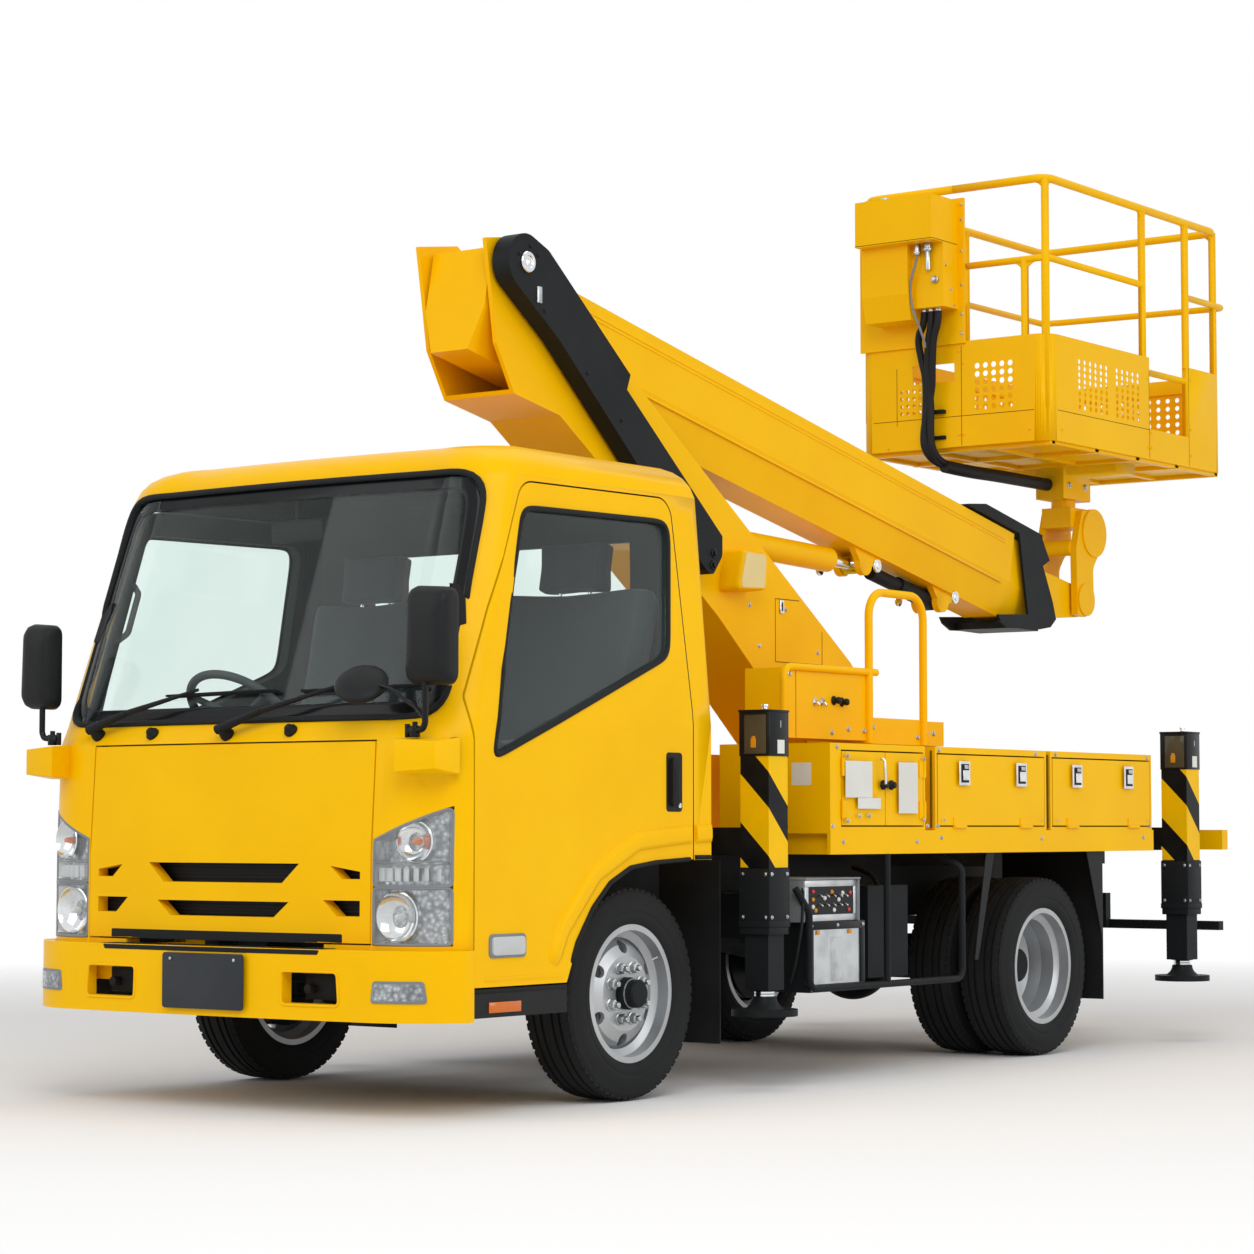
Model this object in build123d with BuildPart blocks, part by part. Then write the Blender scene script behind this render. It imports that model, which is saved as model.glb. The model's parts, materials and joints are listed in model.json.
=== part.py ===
"""Cherry picker truck: a cab-over truck with a slewing column, a telescopic boom and a work basket.

Millimetres, +Z up, ground at z = 0. The truck's front faces -Y and its left side is +X.
Stations along the truck are measured from the front axle (y = 0) while modelling, and
save() then moves each piece so that the origin lies on the ground under the truck's middle.
"""

import math
import os

from build123d import *

os.makedirs("parts", exist_ok=True)

# Overall
BUMPER_FRONT_Y = -1068
GUARD_END_Y = 4905
REAR_END_Y = 3950
MIDDLE_Y = (BUMPER_FRONT_Y + GUARD_END_Y) / 2
SEAT_GAP = 0.3
MOVING_GAP = 5.0

# Wheels and axles
WHEELBASE = 2500
TYRE_R = 328
TYRE_WIDTH = 195
FLANGE_R = 214
BEAD_R = 203
RIM_WIDTH = 165
RIM_INSET = 15
FRONT_TYRE_FACE_X = 797
REAR_TYRE_FACE_X = 849
TWIN_PITCH = 220
KINGPIN_X = 610
KINGPIN_R = 14
SPINDLE_R = 28
RUNNING_GAP = 0.05
FRONT_DRUM_R = 150
REAR_DRUM_R = 160
REAR_DRUM_X = 480

# Chassis
RAIL_X = 350
RAIL_FLANGE = 60
RAIL_WALL = 8
RAIL_Z = (510, 690)
RAIL_Y = (-860, 3840)
SPRING_X = 365
SPRING_WIDTH = 60

# Cab
CAB_WALL = 40
CAB_REAR_Y = 342
CAB_FLOOR_Z = 780
TUNNEL_X = 405
HUMP_X = 300
HUMP_TOP_Z = 925
FIREWALL_Y = -885
DOOR_INNER_X = 845 - CAB_WALL
STRAP_Z = (430, 1000)
STRAP_HEIGHT = 40
STRAP_Y = (-880, -808, -795)
STRAP_INSETS = (35, 12)
FIREWALL_THICK = 25
LID_ARM_X = (440, 470)
FOOTWELL_Z = 415
PANEL_GAP = 5
LID_X = 578
LID_Z = (500, 1094)
LAMP_X = (582, 812)
LAMP_Z = (500, 806)
GLASS_INSET = 8
GLASS_THICK = 6

CAB_MOUNT_X = 320
CAB_MOUNTS_Y = (-760, 180)

# Deck and lockers
DECK_X = 888
DECK_FLOOR_Z = 830
DECK_FLANGE_Z = 750
LOCKER_TOP_Z = 1122
LOCKER_INNER_X = 440
LOCKER_WALL = 12
CABINET_Y = (971, 1579)
BIN_Y = ((1646, 2439), (2470, 3278))
DECK_Y = (971, 3290)

# Jacks
JACK_X = 875
JACK_SIZE = 110
JACK_WALL = 6
JACK_TOP_Z = 1213
JACK_SLEEVE_Z = 496
JACK_LEG_Z = 318
JACK_FOOT_Z = 235
JACK_FOOT_R = 107
JACK_Y = {"front": 597, "rear": 3550}

# Column, which leans forward over the cab
SLEW_Y = 2390
SLEW_R = 380
SLEW_TOP_Z = 1115
COLUMN_X = 150
COLUMN_PLATE = 15
HINGE_Y, HINGE_Z = 170, 2690
HINGE_R = 25

# Boom, measured along it (s) and square to it (v) from its hinge
BOOM_DROP_DEG = 11.4
BOOM_HALF_WIDTH = 125
BOOM_TOP_V = 45
BOOM_LIP_V = -160
BOOM_KEEL_V = -305
BOOM_KEEL_HALF = 78
BOOM_WALL = 8
BOOM_TAIL_S = -60
BOOM_END_S = 3450
INNER_START_S = 290
INNER_END_S = 3700

# Lift cylinder
LIFT_FOOT = (1030, 1917)
LIFT_EYE = (2510, 1862)
LIFT_BARREL_R = 48
LIFT_BARREL_LENGTH = 1300
LIFT_ROD_R = 23
LIFT_ROD_LENGTH = 1425
LUG_GAP_X = 36

# Basket and its knuckle
LEVEL_Y, LEVEL_Z = 4221, 1818
UPPER_PIN_Y, UPPER_PIN_Z = 4298, 2111
SWING_Y = 4210
KNUCKLE_TOP_Z = 2221
SWING_JOINT_Z = 2250
BASKET_X = 450
BASKET_Y = (3280, 4850)
BASKET_Z = (2396, 2829)
BASKET_WALL = 12
BASKET_CORNER_R = 70
RAIL_TOP_Z = 3466
RAIL_MID_Z = 3140
RAIL_R = 17
GATE_Y = (4150, 4508)
GATE_SILL_Z = 2525

SIDES = (("left", 1), ("right", -1))


def save(piece, node):
    """Name a finished piece and write it, with the origin on the ground under the truck's middle."""
    piece.part.label = node
    export_step(Pos(0, -MIDDLE_Y, 0) * piece.part, f"parts/{node}.step")


def block(x, y, z, mode=Mode.ADD):
    """A box between three (low, high) pairs."""
    with Locations(((x[0] + x[1]) / 2, (y[0] + y[1]) / 2, (z[0] + z[1]) / 2)):
        Box(x[1] - x[0], y[1] - y[0], z[1] - z[0], mode=mode)


def round_off(corners):
    """Round corners of the sketch being drawn, each given as (place, radius)."""
    for place, radius in corners:
        corner = vertices().sort_by_distance((*place, 0))[0]
        fillet(corner, radius)


def slab(outline, x_low, x_high, mode=Mode.ADD, shrink=0.0, corners=()):
    """A plate whose side outline is a list of (y, z), from one x to another."""
    with BuildSketch(Plane.YZ.offset(x_low)) as side_view:
        with BuildLine():
            Polyline(*outline, close=True)
        make_face()
        round_off(corners)
        if shrink:
            offset(amount=-shrink, kind=Kind.INTERSECTION, mode=Mode.REPLACE)
    extrude(side_view.sketch, amount=x_high - x_low, mode=mode)


def front_slab(outline, y_low, y_high, mode=Mode.ADD, shrink=0.0, corners=()):
    """A plate whose front outline is a list of (x, z), from one y to another."""
    with BuildSketch(Plane.XZ.offset(-y_low)) as front_view:
        with BuildLine():
            Polyline(*outline, close=True)
        make_face()
        round_off(corners)
        if shrink:
            offset(amount=-shrink, kind=Kind.INTERSECTION, mode=Mode.REPLACE)
    extrude(front_view.sketch, amount=-(y_high - y_low), mode=mode)


def bar(start, end, radius, mode=Mode.ADD):
    """A round bar from one point to another."""
    run = Vector(*end) - Vector(*start)
    with BuildSketch(Plane(origin=start, z_dir=run)) as section:
        Circle(radius)
    extrude(section.sketch, amount=run.length, mode=mode)


def bent_tube(points, radius, bend):
    """A round tube along straight runs joined by arcs."""
    with BuildLine() as path:
        FilletPolyline(*points, radius=bend)
    with BuildSketch(Plane(origin=path.line @ 0, z_dir=path.line % 0)) as section:
        Circle(radius)
    sweep(section.sketch, path=path.line)


def both(x_low, x_high):
    """The same x range on the left and on the right."""
    return ((x_low, x_high), (-x_high, -x_low))


# Chassis frame: two channels, cross tubes, spring hangers and the rear guard bar
with BuildPart() as chassis_frame:
    with BuildSketch(Plane.XZ.offset(-RAIL_Y[0])):
        for side in (1, -1):
            with Locations((side * (RAIL_X - RAIL_FLANGE / 2), sum(RAIL_Z) / 2)):
                Rectangle(RAIL_FLANGE, RAIL_Z[1] - RAIL_Z[0])
            with Locations((side * (RAIL_X - RAIL_WALL - RAIL_FLANGE / 2), sum(RAIL_Z) / 2)):
                Rectangle(RAIL_FLANGE, RAIL_Z[1] - RAIL_Z[0] - 2 * RAIL_WALL, mode=Mode.SUBTRACT)
    extrude(amount=-(RAIL_Y[1] - RAIL_Y[0]))
    for cross_y in (-840, 920, 1250, 1900, 3150, 3700):
        bar((-RAIL_X + RAIL_WALL / 2, cross_y, 630), (RAIL_X - RAIL_WALL / 2, cross_y, 630), 42)
    for low, high in both(SPRING_X - 20, SPRING_X + 20):
        for hanger_y in (-600, 560, 1880, 3080):
            block((low, high), (hanger_y, hanger_y + 40), (400, RAIL_Z[0] + 60))
        block((low, high), (REAR_END_Y - 110, REAR_END_Y - 70), (430, RAIL_Z[0] + 60))
    for mount_x in (CAB_MOUNT_X, -CAB_MOUNT_X):
        for mount_y in CAB_MOUNTS_Y:
            bar((mount_x, mount_y, RAIL_Z[1] - 4), (mount_x, mount_y, CAB_FLOOR_Z - CAB_WALL - SEAT_GAP), 28)
    block((-DECK_X + 8, DECK_X - 8), (REAR_END_Y - 80, REAR_END_Y - 40), (425, 461))
save(chassis_frame, "chassis_frame")

# Leaf springs: a stepped pack over or under each axle end
SPRING_ROWS = (
    # axle station, seat height, half length, eye height
    (0, 320, 560, 415),
    (WHEELBASE, TYRE_R + 60, 580, 455),
)
with BuildPart() as leaf_springs:
    for axle_y, seat_z, half, eye_z in SPRING_ROWS:
        for low, high in both(SPRING_X - SPRING_WIDTH / 2, SPRING_X + SPRING_WIDTH / 2):
            slab(
                [
                    (axle_y - half, eye_z),
                    (axle_y - half * 0.55, seat_z + 26),
                    (axle_y - 90, seat_z),
                    (axle_y + 90, seat_z),
                    (axle_y + half * 0.55, seat_z + 26),
                    (axle_y + half, eye_z),
                    (axle_y + half, eye_z + 14),
                    (axle_y + half * 0.55, seat_z + 56),
                    (axle_y + 90, seat_z + 54),
                    (axle_y - 90, seat_z + 54),
                    (axle_y - half * 0.55, seat_z + 56),
                    (axle_y - half, eye_z + 14),
                ],
                low,
                high,
            )
save(leaf_springs, "leaf_springs")

# Front axle: a dropped beam with a boss for each kingpin
with BuildPart() as front_axle:
    with BuildSketch(Plane.XZ.offset(32)):
        with BuildLine():
            Polyline(
                (-575, TYRE_R + 35), (-520, TYRE_R + 35), (-440, 320), (440, 320), (520, TYRE_R + 35),
                (575, TYRE_R + 35), (575, TYRE_R - 35), (500, TYRE_R - 35), (430, 250), (-430, 250),
                (-500, TYRE_R - 35), (-575, TYRE_R - 35), close=True,
            )
        make_face()
    extrude(amount=-64)
    with Locations((KINGPIN_X, 0, TYRE_R), (-KINGPIN_X, 0, TYRE_R)):
        Cylinder(36, 90)
        Cylinder(KINGPIN_R + RUNNING_GAP, 90, mode=Mode.SUBTRACT)
save(front_axle, "front_axle")

# Rear axle: a housing tube with the differential bulge and brake back plates
with BuildPart() as rear_axle:
    bar((-640, WHEELBASE, TYRE_R), (640, WHEELBASE, TYRE_R), 35)
    bar((SEAT_GAP - REAR_DRUM_X, WHEELBASE, TYRE_R), (REAR_DRUM_X - SEAT_GAP, WHEELBASE, TYRE_R), 60)
    with Locations((0, WHEELBASE, TYRE_R)):
        Sphere(150)
    bar((0, WHEELBASE - 230, TYRE_R), (0, WHEELBASE - 100, TYRE_R), 70)
    for low, high in both(462, 472):
        bar((low, WHEELBASE, TYRE_R), (high, WHEELBASE, TYRE_R), REAR_DRUM_R)
save(rear_axle, "rear_axle")

# Engine, gearbox, propeller shaft and silencer
with BuildPart() as engine_and_driveline:
    block((-240, 240), (-380, 420), (430, 880))
    block((-150, 150), (420, 780), (440, 700))
    bar((0, 775, 560), (0, WHEELBASE - 236.8, TYRE_R), 42)
    mount_x = RAIL_X - RAIL_WALL - SEAT_GAP
    for mount_y in (-330, 570):
        block((-mount_x, mount_x), (mount_y, mount_y + 60), (560, 620))
    bar((-120, 700, 480), (-180, 960, 480), 28)
    bar((-180, 930, 480), (-180, 1700, 480), 80)
save(engine_and_driveline, "engine_and_driveline")


# Wheels
def wheel_plane(y):
    """The plane through a wheel's axis whose first direction points outward on the left."""
    return Plane(origin=(0, y, TYRE_R), x_dir=(1, 0, 0), z_dir=(0, -1, 0))


TYRE_PROFILE = (
    # across the tyre from its outer face, radius
    (RIM_INSET + 8.5, BEAD_R), (RIM_INSET + 8.5, FLANGE_R + 3), (1, BEAD_R + 40), (2, 276), (14, 312),
    (34, TYRE_R - 2), (TYRE_WIDTH / 2, TYRE_R), (TYRE_WIDTH - 34, TYRE_R - 2),
    (TYRE_WIDTH - 14, 312), (TYRE_WIDTH - 2, 276), (TYRE_WIDTH - 1, BEAD_R + 40),
    (TYRE_WIDTH - RIM_INSET - 8.5, FLANGE_R + 3), (TYRE_WIDTH - RIM_INSET - 8.5, BEAD_R),
)
BARREL_PROFILE = (
    # across the rim from its outer flange, radius
    (0, FLANGE_R), (8, FLANGE_R), (8, BEAD_R), (40, BEAD_R), (52, 180), (112, 180), (124, BEAD_R),
    (157, BEAD_R), (157, FLANGE_R), (RIM_WIDTH, FLANGE_R), (RIM_WIDTH, 195), (124, 195), (112, 172),
    (52, 172), (40, 195), (0, 195),
)
FRONT_DISC = ((84, 174), (46, 138), (34, 112), (34, 40), (22, 40), (22, 116), (36, 150), (66, 174))
REAR_OUTER_DISC = (
    (96, 174), (150, 160), (172, 138), (186, 112), (186, 40), (196, 40), (196, 114), (182, 146), (154, 170),
    (112, 181),
)
REAR_INNER_DISC = (
    (60, 176), (24, 168), (2, 148), (-14, 118), (-14, 60), (-24, 60), (-24, 124), (-8, 158),
    (14, 178), (50, 178),
)


def ring(profile, face_x, side, y):
    """Turn a profile, measured inward from a face, round the wheel's axis."""
    with BuildSketch(wheel_plane(y)) as half_section:
        with BuildLine():
            Polyline(*[(side * (face_x - across), radius) for across, radius in profile], close=True)
        make_face()
    revolve(half_section.sketch, axis=Axis((0, y, TYRE_R), (1, 0, 0)))


def drum(side, y, near_x, far_x, radius, mode=Mode.ADD):
    """A round body on a wheel's axis."""
    bar((side * near_x, y, TYRE_R), (side * far_x, y, TYRE_R), radius, mode=mode)


front_rim_x = FRONT_TYRE_FACE_X - RIM_INSET
rear_rim_x = REAR_TYRE_FACE_X - RIM_INSET
disc_x = rear_rim_x - 196
for name, side in SIDES:
    with BuildPart() as tyre:
        ring(TYRE_PROFILE, FRONT_TYRE_FACE_X, side, 0)
    save(tyre, f"tyre_front_{name}")

    with BuildPart() as rim:
        ring(BARREL_PROFILE, front_rim_x, side, 0)
        ring(FRONT_DISC, front_rim_x, side, 0)
        drum(side, 0, 668, 735, FRONT_DRUM_R)
        drum(side, 0, 735, front_rim_x + 8, 46)
        drum(side, 0, 660, 742, SPINDLE_R + RUNNING_GAP, mode=Mode.SUBTRACT)
        with BuildSketch(Plane.YZ.offset(side * (front_rim_x - 90))):
            with Locations((0, TYRE_R)):
                with PolarLocations(143, 6, 30):
                    Circle(20)
        extrude(amount=side * 70, mode=Mode.SUBTRACT)
    save(rim, f"rim_front_{name}")

    with BuildPart() as twin_tyres:
        for face_x in (REAR_TYRE_FACE_X, REAR_TYRE_FACE_X - TWIN_PITCH):
            ring(TYRE_PROFILE, face_x, side, WHEELBASE)
    save(twin_tyres, f"tyres_rear_{name}")

    with BuildPart() as twin_rims:
        ring(BARREL_PROFILE, rear_rim_x, side, WHEELBASE)
        ring(REAR_OUTER_DISC, rear_rim_x, side, WHEELBASE)
        ring(BARREL_PROFILE, rear_rim_x - TWIN_PITCH, side, WHEELBASE)
        drum(side, WHEELBASE, REAR_DRUM_X, disc_x + 2, REAR_DRUM_R)
        ring(REAR_INNER_DISC, rear_rim_x - TWIN_PITCH, side, WHEELBASE)
        drum(side, WHEELBASE, disc_x, disc_x + 92, 62)
        drum(side, WHEELBASE, 478, 645, 35 + RUNNING_GAP, mode=Mode.SUBTRACT)
    save(twin_rims, f"rims_rear_{name}")

    with BuildPart() as knuckle:
        bar((side * KINGPIN_X, 0, TYRE_R - 85), (side * KINGPIN_X, 0, TYRE_R + 85), KINGPIN_R)
        for low in (-85, 50):
            bar((side * KINGPIN_X, 0, TYRE_R + low), (side * KINGPIN_X, 0, TYRE_R + low + 35), 34)
            x_pair = sorted((side * KINGPIN_X, side * 660))
            block(x_pair, (-30, 30), (TYRE_R + low, TYRE_R + low + 35))
        drum(side, 0, 652, 662, FRONT_DRUM_R)
        drum(side, 0, 655, 740, SPINDLE_R)
    save(knuckle, f"steering_knuckle_{name}")

# Cab form: plan sections from the sill to the roof
CAB_ROWS = (
    # height, half width, side front, corner x, corner y, middle front, rear
    (375, 845, -850, 600, -985, -1005, CAB_REAR_Y),
    (760, 845, -850, 600, -983, -1003, CAB_REAR_Y),
    (1094, 845, -845, 600, -963, -985, CAB_REAR_Y),
    (1160, 845, -820, 600, -915, -940, CAB_REAR_Y),
    (1890, 790, -590, 560, -675, -700, CAB_REAR_Y - 12),
    (1926, 777, -575, 550, -659, -683, CAB_REAR_Y - 20),
    (1953, 759, -553, 536, -636, -660, CAB_REAR_Y - 34),
    (1973, 734, -524, 515, -605, -628, CAB_REAR_Y - 54),
    (1986, 703, -488, 490, -568, -590, CAB_REAR_Y - 79),
    (1992, 664, -444, 460, -524, -546, CAB_REAR_Y - 110),
)


def cab_form(inset, low_z=CAB_ROWS[0][0]):
    """The cab's outer form, or one that lies inside it by an inset."""
    plans = []
    for index, (z, half, side_y, corner_x, corner_y, front_y, rear_y) in enumerate(CAB_ROWS):
        height = low_z if index == 0 else z - inset * (index == len(CAB_ROWS) - 1)
        half, corner_x = half - inset, corner_x - inset * 0.4
        side_y, corner_y = side_y + inset * 0.5, corner_y + inset
        front_y, rear_y = front_y + inset, rear_y - inset
        middle = ((half + corner_x) / 2 + 42, (side_y + corner_y) / 2 - 24)
        with BuildSketch(Plane.XY.offset(height)) as plan:
            with BuildLine():
                ThreePointArc((-corner_x, corner_y), (0, front_y), (corner_x, corner_y))
                ThreePointArc((corner_x, corner_y), middle, (half, side_y))
                Polyline((half, side_y), (half, rear_y), (-half, rear_y), (-half, side_y))
                ThreePointArc((-half, side_y), (-middle[0], middle[1]), (-corner_x, corner_y))
            make_face()
        plans.append(plan.sketch)
    loft(plans, ruled=True)


DOOR_OUTLINE = (
    (-847, 375), (-847, 1217), (-740, 1482), (-563, 1872), (193, 1880), (247, 1202),
    (247, 738), (224, 732), (44, 724), (-87, 709), (-190, 664), (-275, 592), (-352, 492),
    (-405, 375),
)
DOOR_CORNERS = (((-847, 1217), 60), ((-740, 1482), 200), ((-563, 1872), 80), ((193, 1880), 70))
WINDOW_OUTLINE = (
    (-757, 1040), (-700, 1300), (-564, 1790), (177, 1802), (132, 1375),
)
WINDOW_CORNERS = (
    ((-757, 1040), 20), ((-700, 1300), 300), ((-564, 1790), 60), ((177, 1802), 50), ((132, 1375), 70),
)
ARCH_OUTLINE = (
    (-405, 300), (-405, 375), (-352, 492), (-275, 592), (-190, 664), (-87, 709), (44, 724), (224, 732),
    (247, 738), (500, 738), (500, 300),
)
SCREEN_OUTLINE = (
    (-766, 1158), (766, 1158), (735, 1896), (-735, 1896),
)
SCREEN_CORNERS = (((-766, 1158), 80), ((766, 1158), 80), ((735, 1896), 95), ((-735, 1896), 95))
REAR_WINDOW = ((-560, 1420), (560, 1420), (560, 1760), (-560, 1760))
LAMP_OUTLINE = (
    (LAMP_X[0], LAMP_Z[0]), (LAMP_X[1], LAMP_Z[0]), (LAMP_X[1], LAMP_Z[1] + 96), (LAMP_X[0], LAMP_Z[1]),
)


def sided(outline, side):
    """A front outline of the left side, or mirrored for the right."""
    return [(side * x, z) for x, z in outline]


with BuildPart() as cab_cavity:
    cab_form(CAB_WALL, low_z=FOOTWELL_Z)
    slab([(-365, 0), (-365, 520), (-250, 660), (-60, CAB_FLOOR_Z), (500, CAB_FLOOR_Z), (500, 0)],
         -900, 900, Mode.SUBTRACT)
    block((-HUMP_X, HUMP_X), (-440, 500), (0, HUMP_TOP_Z), mode=Mode.SUBTRACT)
    block((-TUNNEL_X - CAB_WALL, TUNNEL_X + CAB_WALL), (-1100, 500), (0, CAB_FLOOR_Z), mode=Mode.SUBTRACT)
    block((-900, 900), (-1100, FIREWALL_Y), (0, LID_Z[1]), mode=Mode.SUBTRACT)

with BuildPart() as cab_shell:
    cab_form(0)
    add(cab_cavity.part, mode=Mode.SUBTRACT)
    slab(ARCH_OUTLINE, -900, 900, Mode.SUBTRACT)
    hump_inner_x = HUMP_X - CAB_WALL
    block((-hump_inner_x, hump_inner_x), (-420, 400), (300, HUMP_TOP_Z - CAB_WALL), mode=Mode.SUBTRACT)
    block((-TUNNEL_X, TUNNEL_X), (-1100, 400), (300, CAB_FLOOR_Z - CAB_WALL), mode=Mode.SUBTRACT)
    for x_low, x_high in both(700, 900):
        slab(DOOR_OUTLINE, x_low, x_high, Mode.SUBTRACT, corners=DOOR_CORNERS)
    front_slab(SCREEN_OUTLINE, -1000, -450, Mode.SUBTRACT, corners=SCREEN_CORNERS)
    front_slab(REAR_WINDOW, 250, 400, Mode.SUBTRACT)
    block((-LID_X, LID_X), (-1100, FIREWALL_Y - FIREWALL_THICK), LID_Z, mode=Mode.SUBTRACT)
    firewall_y = (FIREWALL_Y - FIREWALL_THICK, FIREWALL_Y)
    block((-TUNNEL_X, TUNNEL_X), firewall_y, (CAB_FLOOR_Z - CAB_WALL, LID_Z[1]))
    for side in (1, -1):
        front_slab(sided(LAMP_OUTLINE, side), -1100, -850, Mode.SUBTRACT)
        ear_x = sorted((side * 700, side * 838))
        block(ear_x, (-1035, -900), (992, 1098))
        for strap_z in STRAP_Z:
            strap_inner, strap_outer = DOOR_INNER_X - STRAP_INSETS[0], DOOR_INNER_X - STRAP_INSETS[1]
            arm_x = sorted((side * strap_inner, side * strap_outer))
            pad_x = sorted((side * strap_outer, side * (DOOR_INNER_X - SEAT_GAP)))
            block(arm_x, (STRAP_Y[0], STRAP_Y[2]), (strap_z, strap_z + STRAP_HEIGHT))
            block(pad_x, (STRAP_Y[1], STRAP_Y[2]), (strap_z, strap_z + STRAP_HEIGHT))
save(cab_shell, "cab_shell")

# Glass, doors, front lid and lamps are cut from thin layers of the same form
def cab_layer(outer_inset, inner_inset):
    """The cab's form between two insets, as a private solid."""
    with BuildPart() as core:
        cab_form(inner_inset, low_z=200)
    with BuildPart() as layer:
        cab_form(outer_inset, low_z=CAB_ROWS[0][0])
        add(core.part, mode=Mode.SUBTRACT)
    return layer.part


wall_layer = cab_layer(0, CAB_WALL)
glass_layer = cab_layer(GLASS_INSET, GLASS_INSET + GLASS_THICK)
lamp_layer = cab_layer(2, 62)

with BuildPart() as cab_glass:
    front_slab(SCREEN_OUTLINE, -1000, -450, shrink=SEAT_GAP, corners=SCREEN_CORNERS)
    front_slab(REAR_WINDOW, 250, 400, shrink=SEAT_GAP)
    add(glass_layer, mode=Mode.INTERSECT)
save(cab_glass, "cab_glass")

for name, side in SIDES:
    x_low, x_high = sorted((side * 700, side * 900))
    with BuildPart() as door:
        slab(DOOR_OUTLINE, x_low, x_high, shrink=PANEL_GAP, corners=DOOR_CORNERS)
        add(wall_layer, mode=Mode.INTERSECT)
        slab(WINDOW_OUTLINE, x_low, x_high, Mode.SUBTRACT, corners=WINDOW_CORNERS)
    save(door, f"door_{name}")

    with BuildPart() as door_glass:
        slab(WINDOW_OUTLINE, x_low, x_high, shrink=SEAT_GAP, corners=WINDOW_CORNERS)
        add(glass_layer, mode=Mode.INTERSECT)
    save(door_glass, f"door_glass_{name}")

# Front lid with the slots of the grille
GRILLE_SLOTS = (
    # front outlines, drawn for the left half or across the middle
    ((-308, 734), (308, 734), (242, 676), (-242, 676)),
    ((-269, 621), (269, 621), (211, 575), (-211, 575)),
)
GRILLE_SIDE_SLOTS = (
    ((426, 728), (536, 712), (536, 690), (470, 690)),
    ((400, 628), (536, 628), (536, 582), (452, 582)),
)
with BuildPart() as front_panel:
    lid_half = LID_X - PANEL_GAP
    block((-lid_half, lid_half), (-1100, -920), (LID_Z[0] + PANEL_GAP, LID_Z[1] - PANEL_GAP))
    add(wall_layer, mode=Mode.INTERSECT)
    for slot in GRILLE_SLOTS:
        front_slab(slot, -1100, -900, Mode.SUBTRACT)
    for slot in GRILLE_SIDE_SLOTS:
        for side in (1, -1):
            front_slab(sided(slot, side), -1100, -900, Mode.SUBTRACT)
    for low, high in both(*LID_ARM_X):
        block((low, high), (-956, FIREWALL_Y - FIREWALL_THICK - SEAT_GAP), (1040, 1075))
save(front_panel, "front_panel")

GRILLE_Y = (-944, -936, -930)
with BuildPart() as front_grille:
    block((-LID_X + 12, LID_X - 12), (GRILLE_Y[1], GRILLE_Y[2]), (545, 750))
    for bar_z in range(556, 744, 12):
        block((-LID_X + 12, LID_X - 12), (GRILLE_Y[0], GRILLE_Y[1]), (bar_z, bar_z + 4))
save(front_grille, "front_grille")

# Bumper with its lamp and tow openings
BUMPER_Z = (283, 488)
BUMPER_OPENINGS = ((-512, -304), (304, 512))
with BuildPart() as bumper_clearance:
    cab_form(-PANEL_GAP, low_z=LID_Z[0] - 180)
    block((-TUNNEL_X + PANEL_GAP, TUNNEL_X - PANEL_GAP), (-1200, 500), (200, LID_Z[0]), mode=Mode.SUBTRACT)
with BuildPart() as bumper:
    with BuildSketch(Plane.XY.offset(BUMPER_Z[0])) as bumper_plan:
        with BuildLine():
            ThreePointArc((-600, -1048), (0, BUMPER_FRONT_Y), (600, -1048))
            ThreePointArc((600, -1048), (770, -990), (858, -893))
            Polyline((858, -893), (858, -858), (-858, -858), (-858, -893))
            ThreePointArc((-858, -893), (-770, -990), (-600, -1048))
        make_face()
    extrude(bumper_plan.sketch, amount=BUMPER_Z[1] - BUMPER_Z[0])
    with BuildSketch(Plane.XY.offset(BUMPER_Z[0] - 1)) as bumper_core:
        with BuildLine():
            ThreePointArc((-590, -1010), (0, -1028), (590, -1010))
            ThreePointArc((590, -1010), (758, -948), (848, -860))
            Polyline((848, -860), (848, -840), (-848, -840), (-848, -860))
            ThreePointArc((-848, -860), (-758, -948), (-590, -1010))
        make_face()
    extrude(bumper_core.sketch, amount=BUMPER_Z[1] - BUMPER_Z[0] + 2, mode=Mode.SUBTRACT)
    for low, high in BUMPER_OPENINGS:
        block((low, high), (-1100, -900), (330, 420), mode=Mode.SUBTRACT)
    for low, high in both(RAIL_X - 50, RAIL_X):
        block((low, high), (-1040, -1000), (425, BUMPER_Z[1]))
    add(bumper_clearance.part, mode=Mode.SUBTRACT)
    for low, high in both(RAIL_X - 50, RAIL_X):
        block((low, high), (-1040, RAIL_Y[0] + 100), (440, BUMPER_Z[1]))
        block((low, high), (RAIL_Y[0] + 20, RAIL_Y[0] + 100), (BUMPER_Z[1], RAIL_Z[0] - SEAT_GAP))
save(bumper, "bumper")

# Lamps: headlamps in the cab's corners, fog lamps, side repeaters and the rear lamps
with BuildPart() as headlamps:
    for side in (1, -1):
        front_slab(sided(LAMP_OUTLINE, side), -1100, -860, shrink=SEAT_GAP)
    add(lamp_layer, mode=Mode.INTERSECT)
with BuildPart() as lamps:
    add(headlamps.part)
    for low, high in both(500, 760):
        block((low, high), (REAR_END_Y, REAR_END_Y + 40), (740, 828))
save(lamps, "lamps")

# Cab inside: dashboard, steering wheel and seats
WHEEL_CENTRE = Vector(-390, -500, 1196)
WHEEL_AXIS = Vector(0, 0.67, 0.74).normalized()
HUB_DEPTH = 66
with BuildPart() as dashboard:
    slab([(-885, 860), (-800, 860), (-800, 960), (-540, 960), (-520, 1060), (-600, 1120), (-820, 1128),
          (-885, 1090)], -720, 720)
    block((-540, -240), (-760, -600), (1120, 1170))
    bar(tuple(WHEEL_CENTRE - WHEEL_AXIS * 176), tuple(WHEEL_CENTRE - WHEEL_AXIS * (HUB_DEPTH + SEAT_GAP)), 30)
save(dashboard, "dashboard")

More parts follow.
